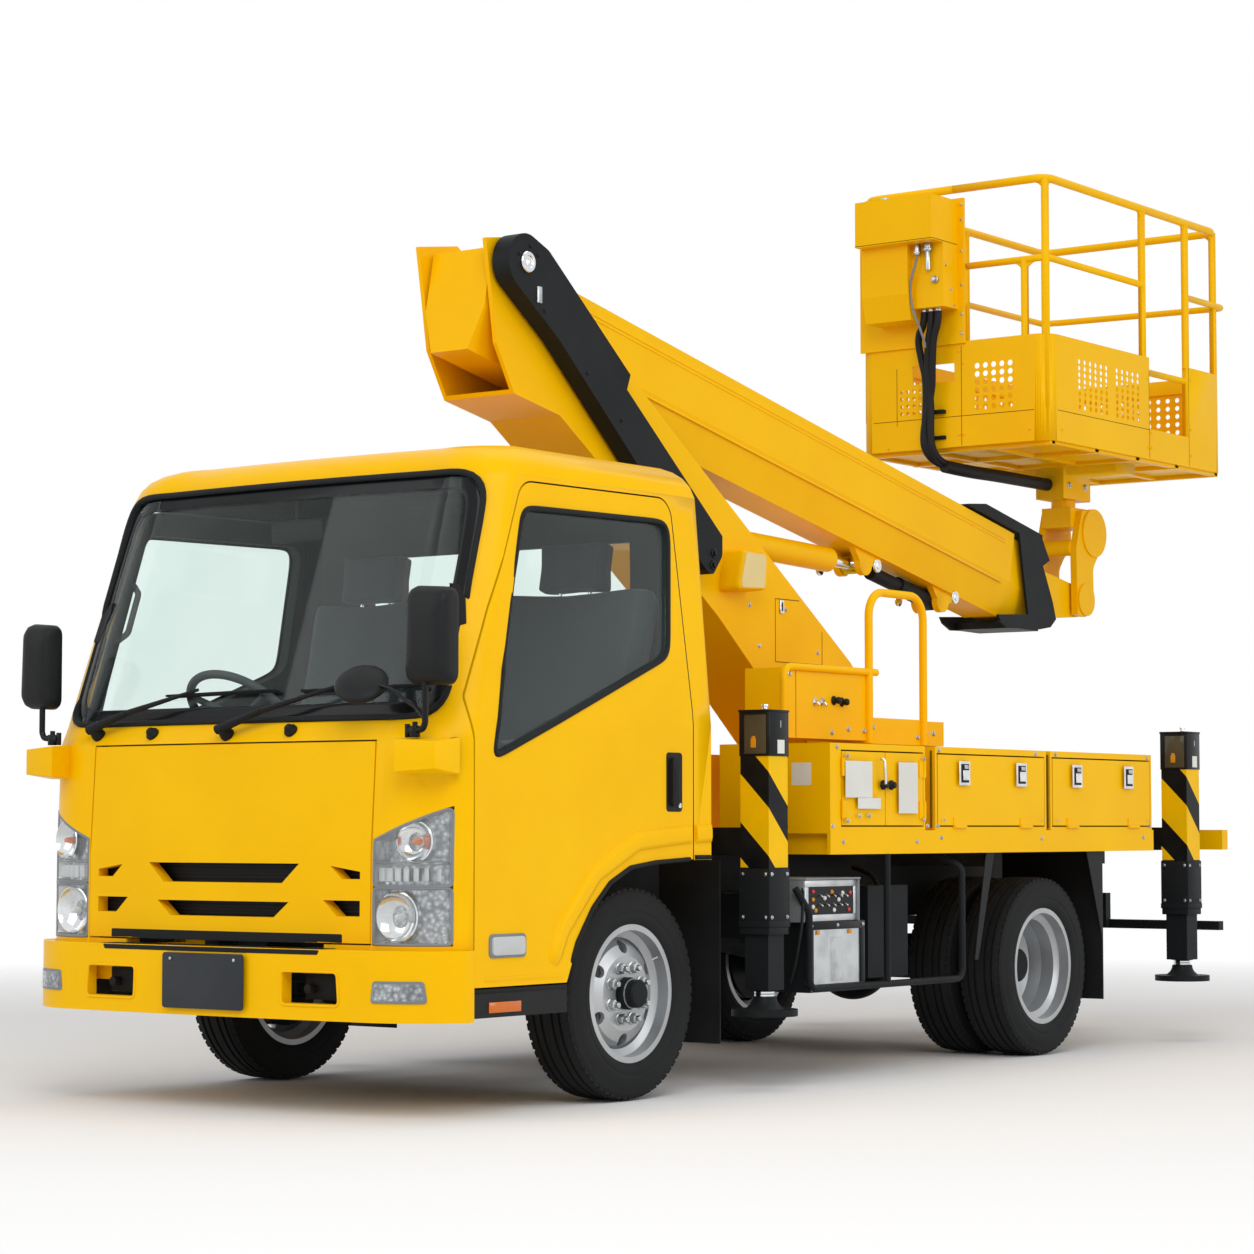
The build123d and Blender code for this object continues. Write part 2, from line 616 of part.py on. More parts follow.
with BuildPart() as steering_wheel:
    grip_normal = WHEEL_AXIS.cross(Vector(1, 0, 0))
    with BuildSketch(Plane(origin=WHEEL_CENTRE + Vector(190, 0, 0), z_dir=grip_normal)) as grip:
        Circle(14)
    revolve(grip.sketch, axis=Axis(WHEEL_CENTRE, WHEEL_AXIS))
    bar(tuple(WHEEL_CENTRE - WHEEL_AXIS * HUB_DEPTH), tuple(WHEEL_CENTRE), 42)
    for angle in (90, 210, 330):
        spoke = WHEEL_CENTRE + Vector(190 * math.cos(math.radians(angle)), 0, 0)
        across = WHEEL_AXIS.cross(Vector(1, 0, 0)).normalized() * (190 * math.sin(math.radians(angle)))
        bar(tuple(WHEEL_CENTRE - WHEEL_AXIS * 12), tuple(spoke + across), 11)
save(steering_wheel, "steering_wheel")

SEAT_ROWS = (
    # middle x, half width
    (-420, 250), (430, 330),
)
with BuildPart() as seats:
    for middle_x, half in SEAT_ROWS:
        side_low, side_high = middle_x - half, middle_x + half
        slab([(-300, 940), (110, 930), (250, 1560), (180, 1600), (70, 1590), (-10, 1090), (-290, 1105)],
             side_low, side_high)
        block((middle_x - 120, middle_x + 120), (140, 215), (1560, 1760))
        outer = sorted((math.copysign(320, middle_x), math.copysign(640, middle_x)))
        block(outer, (-280, 100), (CAB_FLOOR_Z, 945))
save(seats, "seats")

# Mirrors on their arms and the wipers
MIRROR_ROWS = (
    # side, middle x, low z, high z
    (1, 817, 1244, 1534),
    (-1, 800, 1208, 1484),
)
with BuildPart() as mirrors:
    for side, middle_x, low_z, high_z in MIRROR_ROWS:
        with Locations((side * middle_x, -985, (low_z + high_z) / 2)):
            Box(176, 60, high_z - low_z)
        bar((side * middle_x, -985, 1098), (side * middle_x, -985, low_z + 5), 10)
    bar((806, -985, 1150), (560, -985, 1240), 7)
    bar((560, -990, 1240), (560, -1010, 1240), 68)
save(mirrors, "mirrors")

# Deck: subframe, cross bearers, side flanges, floor, slewing pedestal and the yellow rear beam
with BuildPart() as deck:
    for low, high in both(RAIL_X - 70, RAIL_X):
        block((low, high), (520, REAR_END_Y - 100), (RAIL_Z[1], DECK_FLANGE_Z))
    for cross_y in (1000, 1560, 2180, 2700, 3200):
        block((-DECK_X + 12, DECK_X - 12), (cross_y, cross_y + 50), (DECK_FLANGE_Z, DECK_FLOOR_Z - 10))
    block((-DECK_X, DECK_X), DECK_Y, (DECK_FLOOR_Z - 10, DECK_FLOOR_Z))
    for low, high in both(DECK_X - 14, DECK_X):
        block((low, high), DECK_Y, (DECK_FLANGE_Z, DECK_FLOOR_Z))
    bar((0, SLEW_Y, DECK_FLOOR_Z - 10), (0, SLEW_Y, SLEW_TOP_Z - 40), SLEW_R - 60)
    bar((0, SLEW_Y, SLEW_TOP_Z - 40), (0, SLEW_Y, SLEW_TOP_Z), SLEW_R)
    block((-DECK_X + 4, DECK_X - 4), (REAR_END_Y - 50, REAR_END_Y), (DECK_FLANGE_Z, DECK_FLOOR_Z))
    for low, high in both(RAIL_X - 70, RAIL_X):
        block((low, high), (REAR_END_Y - 100, REAR_END_Y - 50), (RAIL_Z[1], DECK_FLOOR_Z))
save(deck, "deck")


def locker(low_y, high_y, side):
    """An open-fronted steel box along the deck's edge."""
    x_pair = sorted((side * LOCKER_INNER_X, side * (DECK_X - 1)))
    inside = sorted((side * (LOCKER_INNER_X + LOCKER_WALL), side * (DECK_X + 5)))
    block(x_pair, (low_y, high_y), (DECK_FLOOR_Z, LOCKER_TOP_Z))
    block(inside, (low_y + LOCKER_WALL, high_y - LOCKER_WALL),
          (DECK_FLOOR_Z + LOCKER_WALL, LOCKER_TOP_Z - 22), mode=Mode.SUBTRACT)


# Tool lockers with drop-down doors, and the valve cabinet with its pair of doors
CABINET_STRIP = 60
with BuildPart() as control_cabinet:
    locker(*CABINET_Y, 1)
    block((DECK_X - LOCKER_WALL, DECK_X - 1),
          (CABINET_Y[0] + LOCKER_WALL, CABINET_Y[0] + LOCKER_WALL + CABINET_STRIP - MOVING_GAP),
          (DECK_FLOOR_Z + LOCKER_WALL, LOCKER_TOP_Z - 22))
save(control_cabinet, "control_cabinet")

with BuildPart() as oil_tank:
    block((-DECK_X + 1, -LOCKER_INNER_X), CABINET_Y, (DECK_FLOOR_Z, LOCKER_TOP_Z))
    bar((-660, 1275, LOCKER_TOP_Z), (-660, 1275, LOCKER_TOP_Z + 14), 45)
save(oil_tank, "oil_tank")

HINGE_BARREL_X = DECK_X - 1 + SEAT_GAP + 6
BARREL_R = 6
BIN_HINGE_Z = DECK_FLOOR_Z + LOCKER_WALL
for name, side in SIDES:
    with BuildPart() as bins:
        for low_y, high_y in BIN_Y:
            locker(low_y, high_y, side)
    save(bins, f"tool_bins_{name}")
    for place, (low_y, high_y) in zip(("front", "rear"), BIN_Y):
        x_pair = sorted((side * (DECK_X - LOCKER_WALL), side * DECK_X))
        with BuildPart() as bin_door:
            block(x_pair, (low_y + LOCKER_WALL + 6, high_y - LOCKER_WALL - 6),
                  (DECK_FLOOR_Z + LOCKER_WALL + MOVING_GAP, LOCKER_TOP_Z - 22 - MOVING_GAP))
            leaf_x = sorted((side * (HINGE_BARREL_X - BARREL_R), side * (HINGE_BARREL_X - 1)))
            for barrel_y in (low_y + 120, high_y - 200):
                bar((side * HINGE_BARREL_X, barrel_y, BIN_HINGE_Z),
                    (side * HINGE_BARREL_X, barrel_y + 80, BIN_HINGE_Z), BARREL_R)
                block(leaf_x, (barrel_y, barrel_y + 80), (BIN_HINGE_Z, BIN_HINGE_Z + 32))
        save(bin_door, f"bin_door_{place}_{name}")

cabinet_middle = (CABINET_Y[0] + CABINET_Y[1]) / 2 + 40
CABINET_DOORS = (
    # name, low y, high y, hinge y, leaf's far edge
    ("front", CABINET_Y[0] + LOCKER_WALL + CABINET_STRIP, cabinet_middle - MOVING_GAP / 2,
     CABINET_Y[0] + LOCKER_WALL + CABINET_STRIP - 2.5, 30),
    ("rear", cabinet_middle + MOVING_GAP / 2, CABINET_Y[1] - LOCKER_WALL - MOVING_GAP,
     CABINET_Y[1] - LOCKER_WALL - MOVING_GAP + 2.5, -30),
)
for place, low_y, high_y, hinge_y, leaf in CABINET_DOORS:
    with BuildPart() as cabinet_door:
        block((DECK_X - LOCKER_WALL, DECK_X), (low_y, high_y),
              (DECK_FLOOR_Z + LOCKER_WALL + MOVING_GAP, LOCKER_TOP_Z - 22 - MOVING_GAP))
        for barrel_z in (DECK_FLOOR_Z + 40, LOCKER_TOP_Z - 110):
            bar((HINGE_BARREL_X, hinge_y, barrel_z), (HINGE_BARREL_X, hinge_y, barrel_z + 60), BARREL_R)
            block((HINGE_BARREL_X - BARREL_R, HINGE_BARREL_X - 1), sorted((hinge_y, hinge_y + leaf)),
                  (barrel_z, barrel_z + 60))
    save(cabinet_door, f"cabinet_door_{place}")

# Jacks: square sleeves on cross beams, and inner legs with feet
with BuildPart() as jack_sleeves:
    for jack_y in JACK_Y.values():
        block((-JACK_X, JACK_X), (jack_y - 50, jack_y + 50), (DECK_FLANGE_Z, DECK_FLANGE_Z + 90))
        for side in (1, -1):
            x_pair = (side * JACK_X - JACK_SIZE / 2, side * JACK_X + JACK_SIZE / 2)
            block(x_pair, (jack_y - JACK_SIZE / 2, jack_y + JACK_SIZE / 2), (JACK_SLEEVE_Z, JACK_TOP_Z))
    for jack_y in JACK_Y.values():
        for side in (1, -1):
            bore = JACK_SIZE / 2 - JACK_WALL
            block((side * JACK_X - bore, side * JACK_X + bore), (jack_y - bore, jack_y + bore),
                  (JACK_SLEEVE_Z - 10, JACK_TOP_Z - 12), mode=Mode.SUBTRACT)
save(jack_sleeves, "jack_sleeves")

leg_half = JACK_SIZE / 2 - JACK_WALL - 4
pad_half = JACK_SIZE / 2 - JACK_WALL - SEAT_GAP
for place, jack_y in JACK_Y.items():
    for name, side in SIDES:
        leg_x = side * JACK_X
        with BuildPart() as jack_leg:
            block((leg_x - leg_half, leg_x + leg_half), (jack_y - leg_half, jack_y + leg_half),
                  (JACK_LEG_Z, JACK_TOP_Z - 120))
            block((leg_x - pad_half, leg_x + pad_half), (jack_y - pad_half, jack_y + pad_half),
                  (JACK_TOP_Z - 180, JACK_TOP_Z - 120))
            bar((leg_x, jack_y, JACK_FOOT_Z + 20), (leg_x, jack_y, JACK_LEG_Z), 28)
            with BuildSketch(Plane(origin=(leg_x, jack_y, JACK_FOOT_Z), z_dir=(0, 0, 1))) as foot_plan:
                Circle(JACK_FOOT_R)
            extrude(foot_plan.sketch, amount=22)
        save(jack_leg, f"jack_leg_{place}_{name}")

# Under-deck equipment: switch box, battery box, back box and guard on the left, fuel tank on the right
with BuildPart() as side_equipment:
    block((640, 872), (830, 1130), (530, 668))
    block((640, 876), (850, 1190), (297, 530))
    block((RAIL_X, 660), (840, 1180), (470, 620))
    block((620, 800), (1340, 1600), (325, 640))
    block((RAIL_X, 640), (1400, 1540), (520, 620))
    block((640, 700), (1150, 1400), (325, 520))
    bent_tube([(860, 800, 640), (884, 846, 560), (884, 846, 309), (884, 1829, 309), (884, 1829, 700),
               (790, 1800, DECK_FLANGE_Z - 1)], 12, 40)
    bar((884, 1330, 309), (884, 1330, DECK_FLANGE_Z), 12)
    bar((870, 846, 330), (884, 846, 330), 10)
    block((-860, -520), (850, 1500), (320, 640))
    block((-540, -RAIL_X), (950, 1010), (540, 620))
    block((-540, -RAIL_X), (1340, 1400), (540, 620))
save(side_equipment, "side_equipment")

# Steps under the doors, mudflaps and the rear mudguards with their stays
with BuildPart() as steps_and_mudguards:
    for side in (1, -1):
        step_x = sorted((side * 700, side * 843))
        block(step_x, (-848, -405), (292, 375))
        flap_x = sorted((side * 560, side * 800))
        block(flap_x, (452, 458), (150, 735))
        stay_x = sorted((side * RAIL_X, side * 700))
        block(stay_x, (452, 482), (560, 600))
        rear_x = sorted((side * 440, side * (DECK_X - 14.3)))
        block(rear_x, (2890, 2896), (190, DECK_FLOOR_Z - 10))
        gusset_x = sorted((side * (DECK_X - 17), side * (DECK_X - 14.3)))
        slab([(2770, DECK_FLANGE_Z), (2890, DECK_FLANGE_Z), (2890, 420)], *gusset_x)
        slab([(2036, DECK_FLOOR_Z - 10), (2100, DECK_FLOOR_Z - 10), (1960, 370), (1935, 370)], *gusset_x)
        block(rear_x, (2030, 2036), (700, DECK_FLOOR_Z - 10))
save(steps_and_mudguards, "steps_and_mudguards")

# Column: a slewing base plate, two side plates, front and rear closing plates and the ears
COLUMN_OUTLINE = (
    (57, 2764), (257, 2795), (2258, 1464), (2364, 1365), (2364, 1140), (1950, 1140), (1388, 1588),
    (612, 2118), (453, 2220), (208, 2267), (113, 2425), (85, 2600),
)
inner_x = COLUMN_X - COLUMN_PLATE
with BuildPart() as column:
    slab(COLUMN_OUTLINE, -COLUMN_X, COLUMN_X)
    slab([(0, 2900), (360, 2900), (1640, 1930), (1790, 1776), (2258, 1450), (2350, 1360), (2350, 1150),
          (1968, 1150), (1395, 1602), (618, 2132), (458, 2234), (215, 2281), (0, 2281)],
         -inner_x, inner_x, Mode.SUBTRACT)
    bar((0, SLEW_Y, SLEW_TOP_Z + SEAT_GAP), (0, SLEW_Y, 1142), SLEW_R + 15)
    block((-COLUMN_X, COLUMN_X), (1950, SLEW_Y), (1122, 1150))
    for x_low, x_high in both(inner_x, COLUMN_X + 12):
        bar((x_low, LIFT_FOOT[0], LIFT_FOOT[1]), (x_high, LIFT_FOOT[0], LIFT_FOOT[1]), 60)
        bar((x_low, HINGE_Y, HINGE_Z), (x_high, HINGE_Y, HINGE_Z), 60)
    bar((-COLUMN_X - 10, LIFT_FOOT[0], LIFT_FOOT[1]), (COLUMN_X + 10, LIFT_FOOT[0], LIFT_FOOT[1]), 24)
    bar((-COLUMN_X - 10, HINGE_Y, HINGE_Z), (COLUMN_X + 10, HINGE_Y, HINGE_Z), HINGE_R)
save(column, "column")

# Hose cover: the long black arm along the column's left side
COVER_OUTLINE = (
    (116, 2612), (HINGE_Y, HINGE_Z), (200, 2780), (288, 2745), (742, 2383), (722, 2330),
    (1290, 1870), (1290, 1800), (1230, 1725), (1190, 1745), (795, 2068), (345, 2454),
)
COVER_CORNERS = (((288, 2745), 60), ((1290, 1800), 30), ((1230, 1725), 25))
with BuildPart() as hose_cover:
    slab(COVER_OUTLINE, COLUMN_X + 12 + SEAT_GAP, COLUMN_X + 82, corners=COVER_CORNERS)
    bar((COLUMN_X + 12 + SEAT_GAP, HINGE_Y, HINGE_Z), (COLUMN_X + 82, HINGE_Y, HINGE_Z), 95)
save(hose_cover, "hose_cover")

# Lower control station on the column: panel box, handrail, step box and grab hoop
STATION_X = (200, 455)
with BuildPart() as control_station:
    block((300, STATION_X[1]), (1330, 1900), (1155, 1400))
    block((COLUMN_X + SEAT_GAP, 310), (1950, 2010), (1160, 1230))
    block(STATION_X, (1880, 2290), (1145, 1240))
    block((STATION_X[1] - 200, STATION_X[1]), (2290, 2430), (1145, 1236))
    bent_tube([(460, 1336, 1156), (460, 1336, 1405), (460, 1945, 1405)], 13, 45)
    bent_tube([(460, 1895, 1146), (460, 1895, 1700), (460, 2275, 1700), (460, 2275, 1146)], 15, 90)
save(control_station, "control_station")

# Boom frame: s along the boom to its tip, v square to it and upward
drop = math.radians(BOOM_DROP_DEG)
ALONG = Vector(0, math.cos(drop), -math.sin(drop))
SQUARE = Vector(0, math.sin(drop), math.cos(drop))


def boom_point(s, v, x=0.0):
    """A point in the truck's frame from its place on the boom."""
    return Vector(x, HINGE_Y, HINGE_Z) + ALONG * s + SQUARE * v


def boom_box(shrink, s_low, s_high, mode=Mode.ADD):
    """A length of the boom's six-sided section."""
    half, keel = BOOM_HALF_WIDTH - shrink, BOOM_KEEL_HALF - shrink * 0.75
    plane = Plane(origin=boom_point(s_low, 0), x_dir=(-1, 0, 0), z_dir=ALONG)
    with BuildSketch(plane) as section:
        with BuildLine():
            Polyline((-half, BOOM_TOP_V - shrink), (half, BOOM_TOP_V - shrink), (half, BOOM_LIP_V),
                     (keel, BOOM_KEEL_V + shrink), (-keel, BOOM_KEEL_V + shrink), (-half, BOOM_LIP_V),
                     close=True)
        make_face()
    extrude(section.sketch, amount=s_high - s_low, mode=mode)


def boom_slab(outline, x_low, x_high, mode=Mode.ADD):
    """A plate on the boom whose outline is a list of (s, v)."""
    points = [boom_point(s, v) for s, v in outline]
    slab([(point.Y, point.Z) for point in points], x_low, x_high, mode)


eye_s = (Vector(0, *LIFT_EYE) - Vector(0, HINGE_Y, HINGE_Z)).dot(ALONG)
eye_v = (Vector(0, *LIFT_EYE) - Vector(0, HINGE_Y, HINGE_Z)).dot(SQUARE)
LEVEL_LUG_S, LEVEL_LUG_V = 3048, -345
LUG_EYE_R = 45
with BuildPart() as boom_outer:
    boom_box(0, BOOM_TAIL_S, BOOM_END_S)
    boom_box(BOOM_WALL, BOOM_TAIL_S + 330, BOOM_END_S + 10, Mode.SUBTRACT)
    bar((-BOOM_HALF_WIDTH - 5, HINGE_Y, HINGE_Z), (BOOM_HALF_WIDTH + 5, HINGE_Y, HINGE_Z), 44)
    bar((-BOOM_HALF_WIDTH - 6, HINGE_Y, HINGE_Z), (BOOM_HALF_WIDTH + 6, HINGE_Y, HINGE_Z),
        HINGE_R + RUNNING_GAP, Mode.SUBTRACT)
    for x_low, x_high in both(LUG_GAP_X, LUG_GAP_X + 26):
        for lug_s, lug_v in ((eye_s, eye_v), (LEVEL_LUG_S, LEVEL_LUG_V)):
            boom_slab([(lug_s - 100, BOOM_KEEL_V + 4), (lug_s + 120, BOOM_KEEL_V + 4),
                       (lug_s + LUG_EYE_R, lug_v), (lug_s - LUG_EYE_R, lug_v)], x_low, x_high)
            eye = boom_point(lug_s, lug_v)
            bar((x_low, eye.Y, eye.Z), (x_high, eye.Y, eye.Z), LUG_EYE_R)
save(boom_outer, "boom_outer")

level_start = boom_point(eye_s + 130, eye_v + 2)
level_end = boom_point(LEVEL_LUG_S, LEVEL_LUG_V)
with BuildPart() as levelling_cylinder:
    bar(tuple(level_start), tuple(level_end), 28)
    bar(tuple(level_end - (level_end - level_start).normalized() * 260), tuple(level_end), 35)
    bar((-LUG_GAP_X, level_end.Y, level_end.Z), (LUG_GAP_X, level_end.Y, level_end.Z), 35)
save(levelling_cylinder, "levelling_cylinder")

inner_shrink = BOOM_WALL + 6
with BuildPart() as boom_inner:
    boom_box(inner_shrink, INNER_START_S, INNER_END_S)
    boom_box(BOOM_WALL + SEAT_GAP, INNER_START_S, INNER_START_S + 80)
    boom_box(inner_shrink + BOOM_WALL, INNER_START_S + 10, INNER_END_S - 10, Mode.SUBTRACT)
    boom_slab([(INNER_END_S - 5, -20), (3830, -8), (4143, 5), (4143, -130), (3916, -186),
               (INNER_END_S - 5, -250)], -58, 58)
    bar((-58, LEVEL_Y, LEVEL_Z), (58, LEVEL_Y, LEVEL_Z), 72)
    bar((-60, LEVEL_Y, LEVEL_Z), (60, LEVEL_Y, LEVEL_Z), 30 + RUNNING_GAP, Mode.SUBTRACT)
save(boom_inner, "boom_inner")

HEAD_OUTLINE = (
    (3450, 86), (3650, 86), (3733, 7), (3682, -30), (3791, -159), (3831, -223), (3790, -268),
    (3700, -300), (3448, -358), (3380, -345), (3354, -324), (3596, -262),
)
HEAD_ARM_S = (3570, 3680)
with BuildPart() as boom_head:
    for x_low, x_high in both(BOOM_HALF_WIDTH + MOVING_GAP, BOOM_HALF_WIDTH + 16):
        boom_slab(HEAD_OUTLINE, x_low, x_high)
    boom_slab([(3050, 52), (3050, 60), (3178, 96), (3655, 96), (3655, 52)],
              -BOOM_HALF_WIDTH - 16, BOOM_HALF_WIDTH + 16)
    boom_slab([(BOOM_END_S + 30, -348), (BOOM_END_S + 30, -318), (3690, -298), (3690, -310)],
              -BOOM_HALF_WIDTH - 16, BOOM_HALF_WIDTH + 16)
    for x_low, x_high in both(BOOM_HALF_WIDTH - inner_shrink + SEAT_GAP, BOOM_HALF_WIDTH + 16):
        boom_slab([(HEAD_ARM_S[0], -120), (HEAD_ARM_S[0], 20), (HEAD_ARM_S[1], 20), (HEAD_ARM_S[1], -120)],
                  x_low, x_high)
save(boom_head, "boom_head")

# Lift cylinder: barrel on the column, rod to the boom's lug
lift_foot = Vector(0, *LIFT_FOOT)
lift_eye = Vector(0, *LIFT_EYE)
lift_run = (lift_eye - lift_foot).normalized()
with BuildPart() as lift_barrel:
    bar((-50, *LIFT_FOOT), (50, *LIFT_FOOT), 46)
    bar(tuple(lift_foot + lift_run * 20), tuple(lift_foot + lift_run * LIFT_BARREL_LENGTH), LIFT_BARREL_R)
    bar(tuple(lift_foot + lift_run * 50), tuple(lift_foot + lift_run * (LIFT_BARREL_LENGTH + 5)),
        LIFT_ROD_R + 6, Mode.SUBTRACT)
    bar((-60, *LIFT_FOOT), (60, *LIFT_FOOT), 24 + RUNNING_GAP, Mode.SUBTRACT)
save(lift_barrel, "lift_barrel")

with BuildPart() as lift_rod:
    bar(tuple(lift_eye - lift_run * LIFT_ROD_LENGTH), tuple(lift_eye), LIFT_ROD_R)
    bar(tuple(lift_eye - lift_run * LIFT_ROD_LENGTH), tuple(lift_eye - lift_run * (LIFT_ROD_LENGTH - 30)),
        LIFT_ROD_R + 5.9)
    bar((-LUG_GAP_X + MOVING_GAP, *LIFT_EYE), (LUG_GAP_X - MOVING_GAP, *LIFT_EYE), 38)
    bar((-LUG_GAP_X, *LIFT_EYE), (LUG_GAP_X, *LIFT_EYE), 22, Mode.SUBTRACT)
save(lift_rod, "lift_rod")

# Basket knuckle: two cheek plates with bosses, hung on the boom's tip
CHEEK_OUTLINE = (
    (4150, 1752), (4225, 1745), (4296, 1830), (4292, 1960), (4396, 2080), (UPPER_PIN_Y, UPPER_PIN_Z + 104),
    (4195, 2200), (4142, 2040),
)
CHEEK_CORNERS = (((4292, 1960), 60), ((4142, 2040), 80))
UPPER_BOSS_R, LOWER_BOSS_R, BOSS_PROUD = 104, 70, 8
with BuildPart() as basket_knuckle:
    for x_low, x_high in both(68, 98):
        slab(CHEEK_OUTLINE, x_low, x_high, corners=CHEEK_CORNERS)
    for x_low, x_high in both(68, 98 + BOSS_PROUD):
        bar((x_low, UPPER_PIN_Y, UPPER_PIN_Z), (x_high, UPPER_PIN_Y, UPPER_PIN_Z), UPPER_BOSS_R)
        bar((x_low, LEVEL_Y, LEVEL_Z), (x_high, LEVEL_Y, LEVEL_Z), LOWER_BOSS_R)
    bar((-98, LEVEL_Y, LEVEL_Z), (98, LEVEL_Y, LEVEL_Z), 30)
    bar((-70, 4160, 2040), (70, 4160, 2040), 34)
    block((-70, 70), (4145, 4340), (2130, 2215))
    bar((0, SWING_Y, 2130), (0, SWING_Y, SWING_JOINT_Z), 52)
save(basket_knuckle, "basket_knuckle")


# Basket: floor, panels with rounded corners, rails, posts and the swing box below
def basket_plan(inset):
    """The basket's rounded plan outline in the sketch being drawn."""
    length, width = BASKET_Y[1] - BASKET_Y[0] - 2 * inset, 2 * (BASKET_X - inset)
    with Locations((0, (BASKET_Y[0] + BASKET_Y[1]) / 2)):
        RectangleRounded(width, length, BASKET_CORNER_R - inset)


POSTS = (
    # x, y, height of the foot
    (BASKET_X - 20, GATE_Y[0] - 22, BASKET_Z[1]), (BASKET_X - 20, GATE_Y[1] + 22, BASKET_Z[1]),
    (-BASKET_X + 20, GATE_Y[0] - 22, BASKET_Z[1]), (330, BASKET_Y[0] + 20, BASKET_Z[1]),
    (BASKET_X - 30, BASKET_Y[0] + 30, BASKET_Z[1]), (BASKET_X - 30, BASKET_Y[1] - 30, BASKET_Z[1]),
    (-BASKET_X + 30, BASKET_Y[0] + 30, BASKET_Z[1]), (-BASKET_X + 30, BASKET_Y[1] - 30, BASKET_Z[1]),
)
with BuildPart() as basket:
    with BuildSketch(Plane.XY.offset(BASKET_Z[0])) as tub_plan:
        basket_plan(0)
    extrude(tub_plan.sketch, amount=BASKET_Z[1] - BASKET_Z[0])
    with BuildSketch(Plane.XY.offset(BASKET_Z[0] + 20)) as tub_inside:
        basket_plan(BASKET_WALL)
    extrude(tub_inside.sketch, amount=BASKET_Z[1], mode=Mode.SUBTRACT)
    block((BASKET_X - 30, BASKET_X + 10), GATE_Y, (GATE_SILL_Z, BASKET_Z[1] + 10), mode=Mode.SUBTRACT)
    rail_x, rail_low, rail_high = BASKET_X - 20, BASKET_Y[0] + 20, BASKET_Y[1] - 20
    bent_tube([(0, rail_low, RAIL_TOP_Z), (rail_x, rail_low, RAIL_TOP_Z), (rail_x, rail_high, RAIL_TOP_Z),
               (-rail_x, rail_high, RAIL_TOP_Z), (-rail_x, rail_low, RAIL_TOP_Z), (-1, rail_low, RAIL_TOP_Z)],
              RAIL_R, 60)
    bent_tube([(60, rail_low, RAIL_MID_Z), (rail_x, rail_low, RAIL_MID_Z),
               (rail_x, GATE_Y[0] - 22, RAIL_MID_Z)], 14, 50)
    bent_tube([(-rail_x, rail_low + 30, RAIL_MID_Z), (-rail_x, rail_high - 20, RAIL_MID_Z),
               (-rail_x + 80, rail_high, RAIL_MID_Z), (rail_x - 60, GUARD_END_Y - 14, RAIL_MID_Z),
               (rail_x, GUARD_END_Y - 14, RAIL_MID_Z), (rail_x, GATE_Y[1] + 22, RAIL_MID_Z)], 14, 20)
    bar((BASKET_X - 20, GATE_Y[0] - 22, 2770), (BASKET_X - 20, GATE_Y[1] + 22, 2770), 14)
    for post_x, post_y, foot_z in POSTS:
        bar((post_x, post_y, foot_z - 300), (post_x, post_y, RAIL_TOP_Z if post_x != 330 else RAIL_MID_Z), 16)
    block((-67, 67), (SWING_Y - 120, SWING_Y + 120), (SWING_JOINT_Z + SEAT_GAP, BASKET_Z[0]))
    block((-300, 300), (SWING_Y - 90, SWING_Y + 90), (BASKET_Z[0] - 45, BASKET_Z[0]))
save(basket, "basket")

with BuildPart() as basket_controls:
    block((-BASKET_X + 14, 64), (BASKET_Y[0] - 14, BASKET_Y[0] - SEAT_GAP), (BASKET_Z[1] - 10, 3420))
    block((-330, 36), (3060, BASKET_Y[0] - 14), (3222, 3409))
    slab([(3110, 3222), (3110, 3020), (3140, 2915), (BASKET_Y[0] - 14, 2915), (BASKET_Y[0] - 14, 3222)],
         -330, -110)
    block((-110, 36), (3150, BASKET_Y[0] - 14), (2960, 3222))
save(basket_controls, "basket_controls")

with BuildPart() as basket_hoses:
    bent_tube([(-45, 3215, 2959.7), (-45, 3215, 2760), (-85, 3222, 2560), (-85, 3232, 2400),
               (-60, 3330, 2312),
               (-10, 3700, 2312), (-10, SWING_Y - 120 - SEAT_GAP, 2312)], 26, 60)
save(basket_hoses, "basket_hoses")
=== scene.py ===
"""Cherry picker truck: the finish and the fine parts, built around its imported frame.

Metres, +Z up, front towards -Y, left side towards +X. Places written in millimetres are
measured along the truck from its front axle, as at() says.
"""

import json
import math

import bmesh
import bpy
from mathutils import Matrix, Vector
from mathutils.bvhtree import BVHTree

